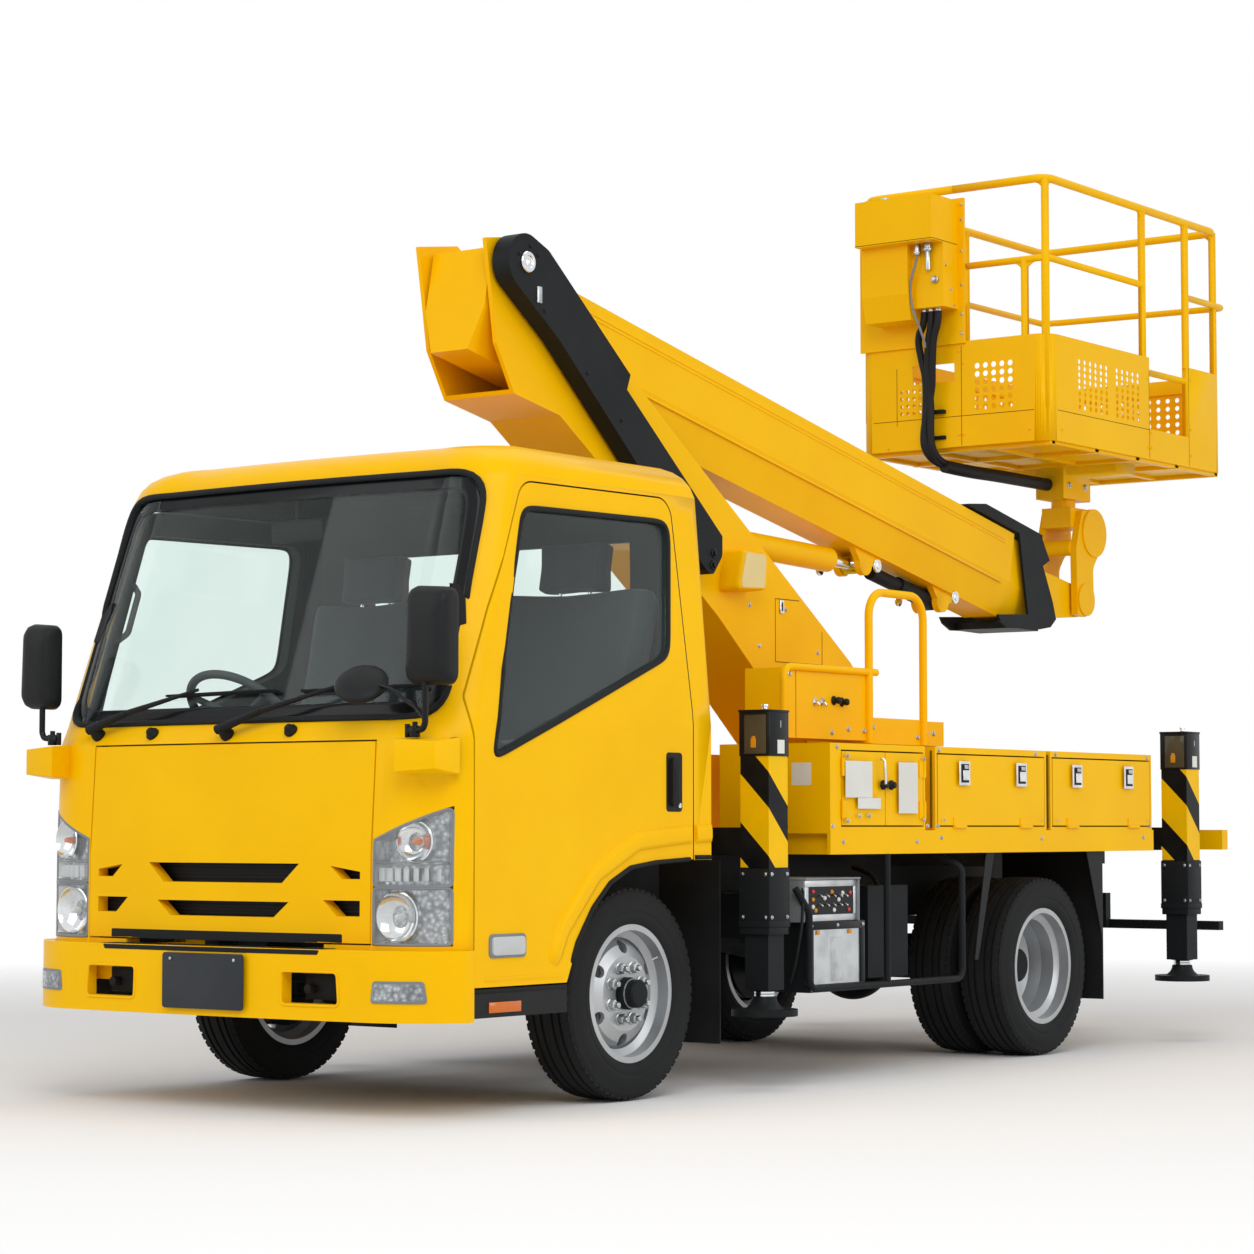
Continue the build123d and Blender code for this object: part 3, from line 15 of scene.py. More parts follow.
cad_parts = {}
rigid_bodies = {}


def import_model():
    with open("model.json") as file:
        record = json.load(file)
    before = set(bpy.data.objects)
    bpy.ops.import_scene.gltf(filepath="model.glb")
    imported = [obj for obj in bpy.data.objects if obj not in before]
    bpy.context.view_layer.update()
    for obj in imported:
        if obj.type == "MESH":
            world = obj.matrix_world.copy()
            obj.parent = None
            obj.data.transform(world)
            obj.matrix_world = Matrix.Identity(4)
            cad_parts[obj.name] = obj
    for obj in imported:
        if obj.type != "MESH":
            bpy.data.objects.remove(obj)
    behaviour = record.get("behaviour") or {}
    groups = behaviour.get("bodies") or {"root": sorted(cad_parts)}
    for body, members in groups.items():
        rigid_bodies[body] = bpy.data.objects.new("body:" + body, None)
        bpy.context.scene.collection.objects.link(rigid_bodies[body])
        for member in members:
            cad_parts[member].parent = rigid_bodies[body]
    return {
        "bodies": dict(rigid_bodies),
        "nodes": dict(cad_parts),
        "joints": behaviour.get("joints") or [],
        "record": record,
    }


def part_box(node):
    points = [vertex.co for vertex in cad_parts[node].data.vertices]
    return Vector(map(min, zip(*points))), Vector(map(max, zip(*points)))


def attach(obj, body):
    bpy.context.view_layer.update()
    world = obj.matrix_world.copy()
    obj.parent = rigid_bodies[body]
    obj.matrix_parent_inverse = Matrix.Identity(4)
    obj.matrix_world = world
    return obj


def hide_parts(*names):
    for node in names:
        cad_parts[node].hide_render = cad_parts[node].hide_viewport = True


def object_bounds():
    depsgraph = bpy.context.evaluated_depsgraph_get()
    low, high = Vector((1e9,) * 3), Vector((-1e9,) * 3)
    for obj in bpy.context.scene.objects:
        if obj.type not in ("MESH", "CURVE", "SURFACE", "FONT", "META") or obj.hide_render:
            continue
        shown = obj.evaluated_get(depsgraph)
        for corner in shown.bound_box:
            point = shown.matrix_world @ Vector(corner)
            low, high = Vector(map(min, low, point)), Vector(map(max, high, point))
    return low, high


bl_info = {"name": "Cherry picker truck", "version": (1, 0, 0), "blender": (4, 5, 0),
    "location": "View3D > Sidebar > Truck",
    "description": "Dresses the packed truck with its finish, lamps, seals, tyres and fittings",
    "category": "Add Mesh",}

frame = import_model()
CAD_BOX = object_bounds()
JOINTS = {joint["name"]: joint for joint in frame["joints"]}
AXLE_Y = JOINTS["steer_left"]["pos_m"][1]
AXLE_Z = JOINTS["steer_left"]["pos_m"][2]
REAR_AXLE_Y = JOINTS["rear_wheels_left_spin"]["pos_m"][1]
MM = 0.001
SIDES = (("left", 1), ("right", -1))


def at(x, y, z):
    """A point from millimetres measured from the front axle, in the frame's metres."""
    return Vector((x * MM, AXLE_Y + y * MM, z * MM))


# The record's slot for each finish, where a call names none
SLOT_OF = {"machinery_enamel_yellow": "yellow_paint", "basket_hole_shadow": "yellow_paint",
    "white_vinyl": "yellow_paint", "faded_decal": "yellow_paint", "lined_cab_enamel": "yellow_paint",
    "chassis_enamel_black": "black_paint", "gloss_enamel_black": "black_paint", "plate_enamel": "black_paint",
    "gasket_rubber": "black_plastic", "textured_abs": "black_plastic", "cab_lining": "black_plastic",
    "smoked_panel": "black_plastic", "hose_cover_rubber": "rubber", "hard_chrome": "bright_steel",
    "zinc_plate": "bright_steel", "aluminium_sheet": "silver_rim", "grey_trim_enamel": "lamp_lens",
    "amber_lens": "lamp_lens", "tyre_compound": "tyre_rubber", "seat_cloth": "seat_fabric",
    "fluted_lens": "lamp_lens", "side_lens": "lamp_lens", "metallised_bowl": "lamp_lens",
    "amber_plastic": "lamp_lens",}


# Meshes
def new_object(name, bm):
    """An object of a mesh being built, with outward faces."""
    mesh = bpy.data.meshes.new(name)
    bmesh.ops.recalc_face_normals(bm, faces=bm.faces)
    bm.to_mesh(mesh)
    bm.free()
    piece = bpy.data.objects.new(name, mesh)
    bpy.context.scene.collection.objects.link(piece)
    return piece


def settle(piece):
    """The evaluated piece as a plain mesh, with its place in the mesh."""
    bpy.context.view_layer.update()
    shown = piece.evaluated_get(bpy.context.evaluated_depsgraph_get())
    mesh = bpy.data.meshes.new_from_object(shown)
    mesh.transform(piece.matrix_world)
    name = piece.name
    bpy.data.objects.remove(piece)
    plain = bpy.data.objects.new(name, mesh)
    bpy.context.scene.collection.objects.link(plain)
    return plain


def dress(piece, material, body="truck", slot=None, smooth_deg=35, bevel=0.0):
    """Finish a piece: bevel, smoothing, material and body; its slot is looked up but not given to it."""
    if bevel:
        rounding = piece.modifiers.new("edges", "BEVEL")
        rounding.width = bevel
        rounding.segments = 2
        rounding.limit_method = "ANGLE"
        rounding.angle_limit = math.radians(40)
        piece = settle(piece)
    piece.data.shade_smooth()
    piece.data.set_sharp_from_angle(angle=math.radians(smooth_deg))
    piece.data.materials.clear()
    piece.data.materials.append(bpy.data.materials[material])
    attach(piece, body)
    slot = slot or SLOT_OF[material]
    return piece


def shaped(name, bm, material, body="truck", slot=None, smooth_deg=35, bevel=0.0):
    """One dressed piece of a mesh being built."""
    return dress(new_object(name, bm), material, body, slot, smooth_deg, bevel)


def add_box(bm, low, high):
    """A box between two corners."""
    spots = [Vector((x, y, z)) for x in (low[0], high[0]) for y in (low[1], high[1]) for z in (low[2], high[2])]
    corners = [bm.verts.new(spot) for spot in spots]
    for face in ((0, 1, 3, 2), (4, 6, 7, 5), (0, 4, 5, 1), (2, 3, 7, 6), (0, 2, 6, 4), (1, 5, 7, 3)):
        bm.faces.new([corners[index] for index in face])


def metres(rows):
    """Pairs of millimetres as pairs of metres."""
    return [(a * MM, b * MM) for a, b in rows]


def skin(bm, rings, closed=False, capped=True):
    """Faces between neighbouring rings of points, with end caps or joined into a loop."""
    for first, second in list(zip(rings, rings[1:])) + ([(rings[-1], rings[0])] if closed else []):
        for step in range(len(first)):
            following = (step + 1) % len(first)
            bm.faces.new((first[step], first[following], second[following], second[step]))
    if capped and not closed:
        bm.faces.new(rings[0])
        bm.faces.new(rings[-1])


def add_round(bm, start, end, radius, sides=20, end_radius=None):
    """A round bar between two points."""
    run = Vector(end) - Vector(start)
    turn = run.to_track_quat("Z", "Y")
    rings = []
    for centre, size in ((start, radius), (end, radius if end_radius is None else end_radius)):
        ring = []
        for step in range(sides):
            angle = math.tau * step / sides
            ring.append(bm.verts.new(Vector(centre) + turn @ Vector((math.cos(angle), math.sin(angle), 0)) * size))
        rings.append(ring)
    skin(bm, rings)


def add_plate(bm, outline, shift):
    """A closed plate: an outline of points and its copy, moved by a shift."""
    near = [bm.verts.new(Vector(point)) for point in outline]
    far = [bm.verts.new(Vector(point) + Vector(shift)) for point in outline]
    bm.faces.new(near)
    bm.faces.new(far)
    for index in range(len(near)):
        following = (index + 1) % len(near)
        bm.faces.new((near[index], near[following], far[following], far[index]))


def add_lathe(bm, centre, axis, profile, sides=48, closed=False):
    """Turn a profile of (along the axis, radius) round an axis."""
    turn = Vector(axis).to_track_quat("Z", "Y")
    rings = []
    for along, radius in profile:
        ring = []
        for step in range(sides):
            angle = math.tau * step / sides
            spot = Vector((math.cos(angle) * radius, math.sin(angle) * radius, along))
            ring.append(bm.verts.new(Vector(centre) + turn @ spot))
        rings.append(ring)
    skin(bm, rings, closed)


def boxes(name, spans, material, body="truck", slot=None, bevel=0.0015):
    """One piece of several bevelled boxes, each given as (x pair, y pair, z pair) in millimetres."""
    bm = bmesh.new()
    for x_pair, y_pair, z_pair in spans:
        add_box(bm, at(min(x_pair), min(y_pair), min(z_pair)), at(max(x_pair), max(y_pair), max(z_pair)))
    return shaped(name, bm, material, body, slot, bevel=bevel)


def shut_lines(name, spans, body="truck"):
    """Dark gaps round a panel, as thin strips of painted shade."""
    return boxes(name, spans, "basket_hole_shadow", body, bevel=0)


def rounds(name, rows, material, body="truck", slot=None, sides=20, bevel=0.001):
    """One piece of several round bars, each given as (start, end, radius) in millimetres."""
    bm = bmesh.new()
    for start, end, radius in rows:
        add_round(bm, at(*start), at(*end), radius * MM, sides)
    return shaped(name, bm, material, body, slot, bevel=bevel)


def turned(name, centre, axis, rows, sides, material, body="truck", slot=None, smooth_deg=35, bevel=0.0):
    """One turned piece from (along the axis, radius) rows in millimetres."""
    bm = bmesh.new()
    add_lathe(bm, centre, axis, metres(rows), sides)
    return shaped(name, bm, material, body, slot, smooth_deg=smooth_deg, bevel=bevel)


def pipe(name, points, radius, material, body="truck", slot=None, bend=None, sides=4):
    """A tube along points in millimetres, smooth through all of them, or straight with bends."""
    route = [at(*point) for point in points]
    curve = bpy.data.curves.new(name, "CURVE")
    curve.dimensions = "3D"
    curve.bevel_depth = radius * MM
    curve.bevel_resolution = sides
    curve.use_fill_caps = True
    if bend:
        route = round_corners(route, bend * MM, False)
    spline = curve.splines.new("POLY" if bend else "NURBS")
    spline.points.add(len(route) - 1)
    for point, spot in zip(spline.points, route):
        point.co = (*spot, 1)
    if not bend:
        spline.order_u = 3
        spline.use_endpoint_u = True
        spline.resolution_u = 8
    piece = bpy.data.objects.new(name, curve)
    bpy.context.scene.collection.objects.link(piece)
    return dress(settle(piece), material, body, slot, smooth_deg=50)


def round_corners(route, radius, cyclic, steps=6):
    """The route with each corner replaced by a curve that starts and ends a radius' cut from it."""
    spots = []
    count = len(route)
    for index, corner in enumerate(route):
        if not cyclic and index in (0, count - 1):
            spots.append(corner)
            continue
        before, after = route[index - 1] - corner, route[(index + 1) % count] - corner
        size = radius[index] if isinstance(radius, (tuple, list)) else radius
        cut = min(size / math.tan(before.angle(after) / 2), before.length * 0.48, after.length * 0.48)
        start, end = corner + before.normalized() * cut, corner + after.normalized() * cut
        for step in range(steps + 1):
            share = step / steps
            spots.append(start * (1 - share) ** 2 + corner * 2 * share * (1 - share) + end * share ** 2)
    return spots


# The cab's surface, found by rays on the frame's own pieces
def surface_of(*nodes):
    """One search tree over several frame nodes."""
    verts, faces = [], []
    for node in nodes:
        mesh = frame["nodes"][node].data
        base = len(verts)
        verts += [vertex.co.copy() for vertex in mesh.vertices]
        faces += [[base + index for index in polygon.vertices] for polygon in mesh.polygons]
    return BVHTree.FromPolygons(verts, faces)


CAB = surface_of("cab_shell", "front_panel", "door_left", "door_right", "lamps", "cab_glass", "door_glass_left",
    "door_glass_right")
BUMPER = surface_of("bumper")
NUDGES = tuple((a, b) for reach in (0, 4, 8, 14) for a, b in ((reach, 0), (-reach, 0), (0, reach), (0, -reach)))


def on_front(x, z, tree=None, lift=0.0):
    """The point and normal on the front at x and z, in millimetres, past any narrow gap."""
    for shift_x, shift_z in NUDGES:
        start = Vector(((x + shift_x) * MM, CAD_BOX[0][1] - 1, (z + shift_z) * MM))
        spot, normal, _, _ = (tree or CAB).ray_cast(start, Vector((0, 1, 0)))
        if spot is not None and abs(normal.y) > 0.25 and spot.y < AXLE_Y:
            break
    else:
        raise ValueError(f"nothing on the front at {x}, {z}")
    if normal.y > 0:
        normal = -normal
    spot = Vector((x * MM, spot.y, z * MM))
    return spot + normal * lift * MM, normal


def on_side(y, z, side, lift=0.0):
    """The point and normal on one side at y and z, in millimetres, past any narrow gap."""
    for shift_y, shift_z in NUDGES:
        spot, normal, _, _ = CAB.ray_cast(at(side * 3000, y + shift_y, z + shift_z), Vector((-side, 0, 0)))
        if spot is not None and abs(normal.x) > 0.25 and spot.x * side > 0.4:
            break
    else:
        raise ValueError(f"nothing on the side at {y}, {z}")
    if normal.x * side < 0:
        normal = -normal
    return Vector((spot.x, AXLE_Y + y * MM, z * MM)) + normal * lift * MM, normal


def outline_points(outline, radius, spacing):
    """A flat outline in millimetres with round corners, one radius or one each, and even points."""
    corners = [Vector((a, b, 0)) for a, b in outline]
    route = round_corners(corners, radius, True)
    spots = []
    for index, start in enumerate(route):
        end = route[(index + 1) % len(route)]
        count = max(1, int((end - start).length / spacing))
        spots += [start.lerp(end, step / count) for step in range(count)]
    return [(spot.x, spot.y) for spot in spots]


def seal(name, path, width, height, material, body="truck", slot=None, closed=True):
    """A rubber strip along (point, normal) pairs, closed or with capped ends."""
    section = ((-0.5, -0.3), (-0.42, 0.7), (-0.2, 1.0), (0.2, 1.0), (0.42, 0.7), (0.5, -0.3))
    bm = bmesh.new()
    rings = []
    count = len(path)
    for index, (spot, normal) in enumerate(path):
        before, after = (index - 1, (index + 1) % count) if closed else (max(index - 1, 0),
            min(index + 1, count - 1))
        tangent = (path[after][0] - path[before][0]).normalized()
        across = tangent.cross(normal).normalized()
        rings.append([bm.verts.new(spot + across * width * MM * u + normal * height * MM * v) for u, v in section])
    for index in range(count if closed else count - 1):
        ring, following = rings[index], rings[(index + 1) % count]
        for step in range(len(section)):
            other = (step + 1) % len(section)
            bm.faces.new((ring[step], ring[other], following[other], following[step]))
    if not closed:
        bm.faces.new(rings[0])
        bm.faces.new(rings[-1])
    return shaped(name, bm, material, body, slot, smooth_deg=60)


def open_line(points, spacing=30, bend=60):
    """Even points along a line of (a, b) pairs in millimetres, with eased corners."""
    route = round_corners([Vector((a, b, 0)) for a, b in points], bend, False)
    spots = [(route[0].x, route[0].y)]
    for start, end in zip(route, route[1:]):
        count = max(1, int((end - start).length / spacing))
        spots += [tuple(start.lerp(end, step / count).xy) for step in range(1, count + 1)]
    return spots


def wrap(name, outline, thickness, place, material, body="truck", slot=None, radius=6, spacing=30, sink=1.0,
         crown=0.0):
    """A plate that follows a surface: its outline is laid on by place(a, b), and a fan fills it."""
    spots = outline_points(outline, radius, spacing)
    middle = (sum(a for a, _ in spots) / len(spots), sum(b for _, b in spots) / len(spots))
    bm = bmesh.new()
    rows = []
    for share in (1.0, 0.985, 0.8, 0.55, 0.3):
        row = []
        for a, b in spots:
            spot, normal = place(middle[0] + (a - middle[0]) * share, middle[1] + (b - middle[1]) * share)
            height = -sink if share == 1.0 else thickness + crown * (1 - share ** 2)
            row.append(bm.verts.new(spot + normal * height * MM))
        rows.append(row)
    skin(bm, rows, capped=False)
    spot, normal = place(*middle)
    centre = bm.verts.new(spot + normal * (thickness + crown) * MM)
    for index in range(len(spots)):
        bm.faces.new((rows[-1][index], rows[-1][(index + 1) % len(spots)], centre))
    bm.faces.new(rows[0])
    return shaped(name, bm, material, body, slot, smooth_deg=30)


# Geometry Nodes
def scatter_tree(name, material):
    """A tree that puts the object's own mesh on every point of a guide object, turned to its normal."""
    tree = bpy.data.node_groups.new(name, "GeometryNodeTree")
    face = tree.interface
    face.new_socket("Geometry", in_out="INPUT", socket_type="NodeSocketGeometry")
    face.new_socket("Part", in_out="INPUT", socket_type="NodeSocketObject")
    face.new_socket("Size", in_out="INPUT", socket_type="NodeSocketFloat").default_value = 1.0
    face.new_socket("Geometry", in_out="OUTPUT", socket_type="NodeSocketGeometry")
    nodes = tree.nodes
    inlet, outlet = nodes.new("NodeGroupInput"), nodes.new("NodeGroupOutput")
    part = nodes.new("GeometryNodeObjectInfo")
    normal = nodes.new("GeometryNodeInputNamedAttribute")
    normal.data_type = "FLOAT_VECTOR"
    normal.inputs["Name"].default_value = "facing"
    turn = nodes.new("FunctionNodeAlignRotationToVector")
    turn.axis = "Z"
    place = nodes.new("GeometryNodeInstanceOnPoints")
    solid = nodes.new("GeometryNodeRealizeInstances")
    paint = nodes.new("GeometryNodeSetMaterial")
    paint.inputs["Material"].default_value = bpy.data.materials[material]
    for source, output, target, entry in ((inlet, "Part", part, "Object"), (normal, "Attribute", turn, "Vector"),
            (inlet, "Geometry", place, "Points"), (part, "Geometry", place, "Instance"),
            (turn, "Rotation", place, "Rotation"), (inlet, "Size", place, "Scale"),
            (place, "Instances", solid, "Geometry"), (solid, "Geometry", paint, "Geometry"),
            (paint, "Geometry", outlet, "Geometry")):
        tree.links.new(source.outputs[output], target.inputs[entry])
    return tree


def scatter(name, spots, part, material, body="truck", slot=None, size=1.0, smooth_deg=40):
    """Copies of a part on (point, facing) pairs, as one plain mesh."""
    mesh = bpy.data.meshes.new(name)
    mesh.from_pydata([tuple(spot) for spot, _ in spots], [], [])
    facing = mesh.attributes.new("facing", "FLOAT_VECTOR", "POINT")
    facing.data.foreach_set("vector", [value for _, normal in spots for value in normal])
    guide = bpy.data.objects.new(name, mesh)
    bpy.context.scene.collection.objects.link(guide)
    modifier = guide.modifiers.new("copies", "NODES")
    modifier.node_group = scatter_tree(name + "_tree", material)
    for item in modifier.node_group.interface.items_tree:
        if item.in_out == "INPUT" and item.name == "Part":
            modifier[item.identifier] = part
        if item.in_out == "INPUT" and item.name == "Size":
            modifier[item.identifier] = size
    return dress(settle(guide), material, body, slot, smooth_deg=smooth_deg)


def bolt_part():
    """A small hexagon head on a washer, 20 mm across, standing on +Z."""
    bm = bmesh.new()
    add_lathe(bm, (0, 0, 0), (0, 0, 1), ((0, 0.011), (0.002, 0.011), (0.0024, 0.0105)), 16)
    add_lathe(bm, (0, 0, 0.002), (0, 0, 1), ((0, 0.0075), (0.005, 0.0075), (0.0062, 0.0062)), 6)
    piece = new_object("bolt_pattern_part", bm)
    return piece


def bolts(name, spots, material, body="truck", slot=None, size=1.0):
    """Bolt heads on (point in millimetres, facing) pairs."""
    part = bolt_part()
    piece = scatter(name, [(at(*spot), Vector(facing)) for spot, facing in spots], part, material, body, slot, size)
    bpy.data.objects.remove(part)
    return piece


def on_left(x, rows):
    """(point, facing) pairs on a face that looks left, from (y, z) rows in millimetres."""
    return [((x, y, z), (1, 0, 0)) for y, z in rows]


def add_tube(bm, x, y, outer, inner, low, high):
    """A square tube standing round x and y, in millimetres."""
    for a_pair, b_pair in (((-outer, outer), (-outer, -inner)), ((-outer, outer), (inner, outer)),
            ((-outer, -inner), (-inner, inner)), ((inner, outer), (-inner, inner))):
        add_box(bm, at(x + a_pair[0], y + b_pair[0], low), at(x + a_pair[1], y + b_pair[1], high))


def frame_on_side(name, face_x, depth, y_pair, z_pair, width, material, body="truck", slot=None, bevel=0.0015):
    """A rectangular frame on a side face at face_x, in millimetres."""
    (y0, y1), (z0, z1) = y_pair, z_pair
    x_pair = (face_x, face_x + math.copysign(depth, face_x))
    spans = [(x_pair, (y0, y1), (z1 - width, z1)), (x_pair, (y0, y1), (z0, z0 + width)),
        (x_pair, (y0, y0 + width), (z0 + width, z1 - width)), (x_pair, (y1 - width, y1), (z0 + width, z1 - width))]
    return boxes(name, spans, material, body, slot, bevel)


# Materials
YELLOW = "#FBC200"
SHEEN = 0.08  # low specular level, so that the white surroundings don't pale the enamel
WAVE = 314.0  # scale of a wave texture whose bands are one millimetre wide


def linear(hex_colour, alpha=1.0):
    """A #RRGGBB colour as linear red, green, blue and alpha."""
    values = []
    for start in (1, 3, 5):
        value = int(hex_colour[start:start + 2], 16) / 255
        values.append(value / 12.92 if value <= 0.04045 else ((value + 0.055) / 1.055) ** 2.4)
    return (*values, alpha)


def add(tree, kind, settings=None, links=None):
    """Add a node: settings name its sockets or its own properties, links name (node, output)."""
    node = tree.nodes.new(kind)
    for key, value in (settings or {}).items():
        if isinstance(key, int) or key in node.inputs:
            node.inputs[key].default_value = value
        else:
            setattr(node, key, value)
    for key, (source, output) in (links or {}).items():
        tree.links.new(source.outputs[output], node.inputs[key])
    return node


def base_material(name):
    """An empty material with its output, its tree and Object coordinates."""
    material = bpy.data.materials.new(name)
    material.use_nodes = True
    tree = material.node_tree
    tree.nodes.clear()
    place = add(tree, "ShaderNodeTexCoord")
    return material, tree, place


def shade(tree, shader):
    """Join a shader to the material's output."""
    add(tree, "ShaderNodeOutputMaterial", links={"Surface": (shader, 0)})


def ramp(tree, source, output, low, low_colour, high, high_colour):
    """A colour ramp between two positions and their #RRGGBB colours."""
    node = add(tree, "ShaderNodeValToRGB", links={"Fac": (source, output)})
    for stop, position, colour in zip(node.color_ramp.elements, (low, high), (low_colour, high_colour)):
        stop.position, stop.color = position, linear(colour)
    return node


def noise(tree, place, scale, detail, roughness=0.5):
    """Soft noise on the object's own coordinates."""
    return add(tree, "ShaderNodeTexNoise", {"Scale": scale, "Detail": detail, "Roughness": roughness},
        {"Vector": (place, "Object")})


def spread(tree, source, output, low, high):
    """A value from 0 to 1 turned into one between low and high."""
    return add(tree, "ShaderNodeMapRange", {"To Min": low, "To Max": high}, {"Value": (source, output)})


def relief(tree, source, output, strength, distance):
    """Bumps from a height, with their depth in metres."""
    return add(tree, "ShaderNodeBump", {"Strength": strength, "Distance": distance}, {"Height": (source, output)})


def paint(name, colour, worn, roughness, coat, grain_mm=2.2, bump=0.05, metallic=0.0, dust=0.35, specular=SHEEN):
    """Sprayed enamel or a like coating: faint cloudy colour, orange-peel bump, and varied gloss."""
    material, tree, place = base_material(name)
    cloud = noise(tree, place, 2.4, 4.0, 0.6)
    tint = ramp(tree, cloud, "Fac", 0.35, worn, 0.35 + dust, colour)
    peel = noise(tree, place, 1000 / grain_mm / 6, 2.0)
    raised = relief(tree, peel, "Fac", bump, 0.0006)
    streak = noise(tree, place, 9.0, 3.0)
    gloss = spread(tree, streak, "Fac", roughness * 0.8, roughness * 1.25)
    shader = add(tree, "ShaderNodeBsdfPrincipled", {"Metallic": metallic, "IOR": 1.5, "Coat Weight": coat,
        "Coat Roughness": 0.12, "Specular IOR Level": specular},
        {"Base Color": (tint, "Color"), "Roughness": (gloss, "Result"), "Normal": (raised, "Normal")})
    shade(tree, shader)
    return material


def moulded(name, colour, lighter, roughness, grain_mm=1.2, bump=0.25, specular=0.18):
    """Moulded rubber or plastic with a fine pebble grain and faint fading."""
    material, tree, place = base_material(name)
    pebble = add(tree, "ShaderNodeTexVoronoi", {"Scale": 1000 / grain_mm / 2}, {"Vector": (place, "Object")})
    fade = noise(tree, place, 5.0, 5.0)
    tint = ramp(tree, fade, "Fac", 0.35, colour, 0.75, lighter)
    raised = relief(tree, pebble, "Distance", bump, 0.0004)
    gloss = spread(tree, fade, "Fac", roughness * 0.85, min(roughness * 1.15, 1.0))
    shader = add(tree, "ShaderNodeBsdfPrincipled", {"IOR": 1.5, "Specular IOR Level": specular},
        {"Base Color": (tint, "Color"), "Roughness": (gloss, "Result"), "Normal": (raised, "Normal")})
    shade(tree, shader)
    return material


def brushed(name, colour, darker, roughness, stretch=(1, 1, 14)):
    """Bare or plated metal with fine drawn lines and a little tarnish."""
    material, tree, place = base_material(name)
    drawn = add(tree, "ShaderNodeMapping", {"Scale": stretch}, {"Vector": (place, "Object")})
    lines = add(tree, "ShaderNodeTexNoise", {"Scale": 60.0, "Detail": 3.0}, {"Vector": (drawn, "Vector")})
    tarnish = noise(tree, place, 14.0, 4.0)
    tint = ramp(tree, tarnish, "Fac", 0.3, darker, 0.6, colour)
    raised = relief(tree, lines, "Fac", 0.08, 0.0003)
    gloss = spread(tree, lines, "Fac", roughness * 0.7, roughness * 1.3)
    shader = add(tree, "ShaderNodeBsdfPrincipled", {"Metallic": 1.0},
        {"Base Color": (tint, "Color"), "Roughness": (gloss, "Result"), "Normal": (raised, "Normal")})
    shade(tree, shader)
    return material


def safety_glass():
    """Laminated windscreen glass: clear with a grey-green tint and a sharp reflection."""
    material, tree, place = base_material("laminated_glass")
    film = noise(tree, place, 1.6, 3.0)
    tint = ramp(tree, film, "Fac", 0.3, "#F4FAF8", 0.7, "#F9FCFB")
    gloss = spread(tree, film, "Fac", 0.01, 0.04)
    through = add(tree, "ShaderNodeBsdfTransparent", links={"Color": (tint, "Color")})
    mirror = add(tree, "ShaderNodeBsdfGlossy", {"Color": linear("#F2F5F5")}, {"Roughness": (gloss, "Result")})
    edge = add(tree, "ShaderNodeLayerWeight", {"Blend": 0.5})
    grazing = add(tree, "ShaderNodeMath", {"operation": "POWER", 1: 4.0}, {0: (edge, "Facing")})
    lift = spread(tree, grazing, 0, 0.012, 0.85)
    mixed = add(tree, "ShaderNodeMixShader", links={0: (lift, "Result"), 1: (through, 0), 2: (mirror, 0)})
    shade(tree, mixed)
    return material


def lens(name, colour, ribs_mm, see_through=0.85, roughness=0.05):
    """Clear or coloured polycarbonate with moulded upright ribs."""
    material, tree, place = base_material(name)
    flutes = add(tree, "ShaderNodeTexWave", {"bands_direction": "X", "Scale": WAVE / ribs_mm, "Distortion": 0.0},
        {"Vector": (place, "Object")})
    raised = relief(tree, flutes, "Fac", 0.35, 0.001)
    shader = add(tree, "ShaderNodeBsdfPrincipled", {"Base Color": linear(colour), "Roughness": roughness,
        "IOR": 1.58, "Alpha": 1 - see_through}, {"Normal": (raised, "Normal")})
    shade(tree, shader)
    return material


JACK_INNER_X = 0.814  # stripes are outside this, on the jack sleeves


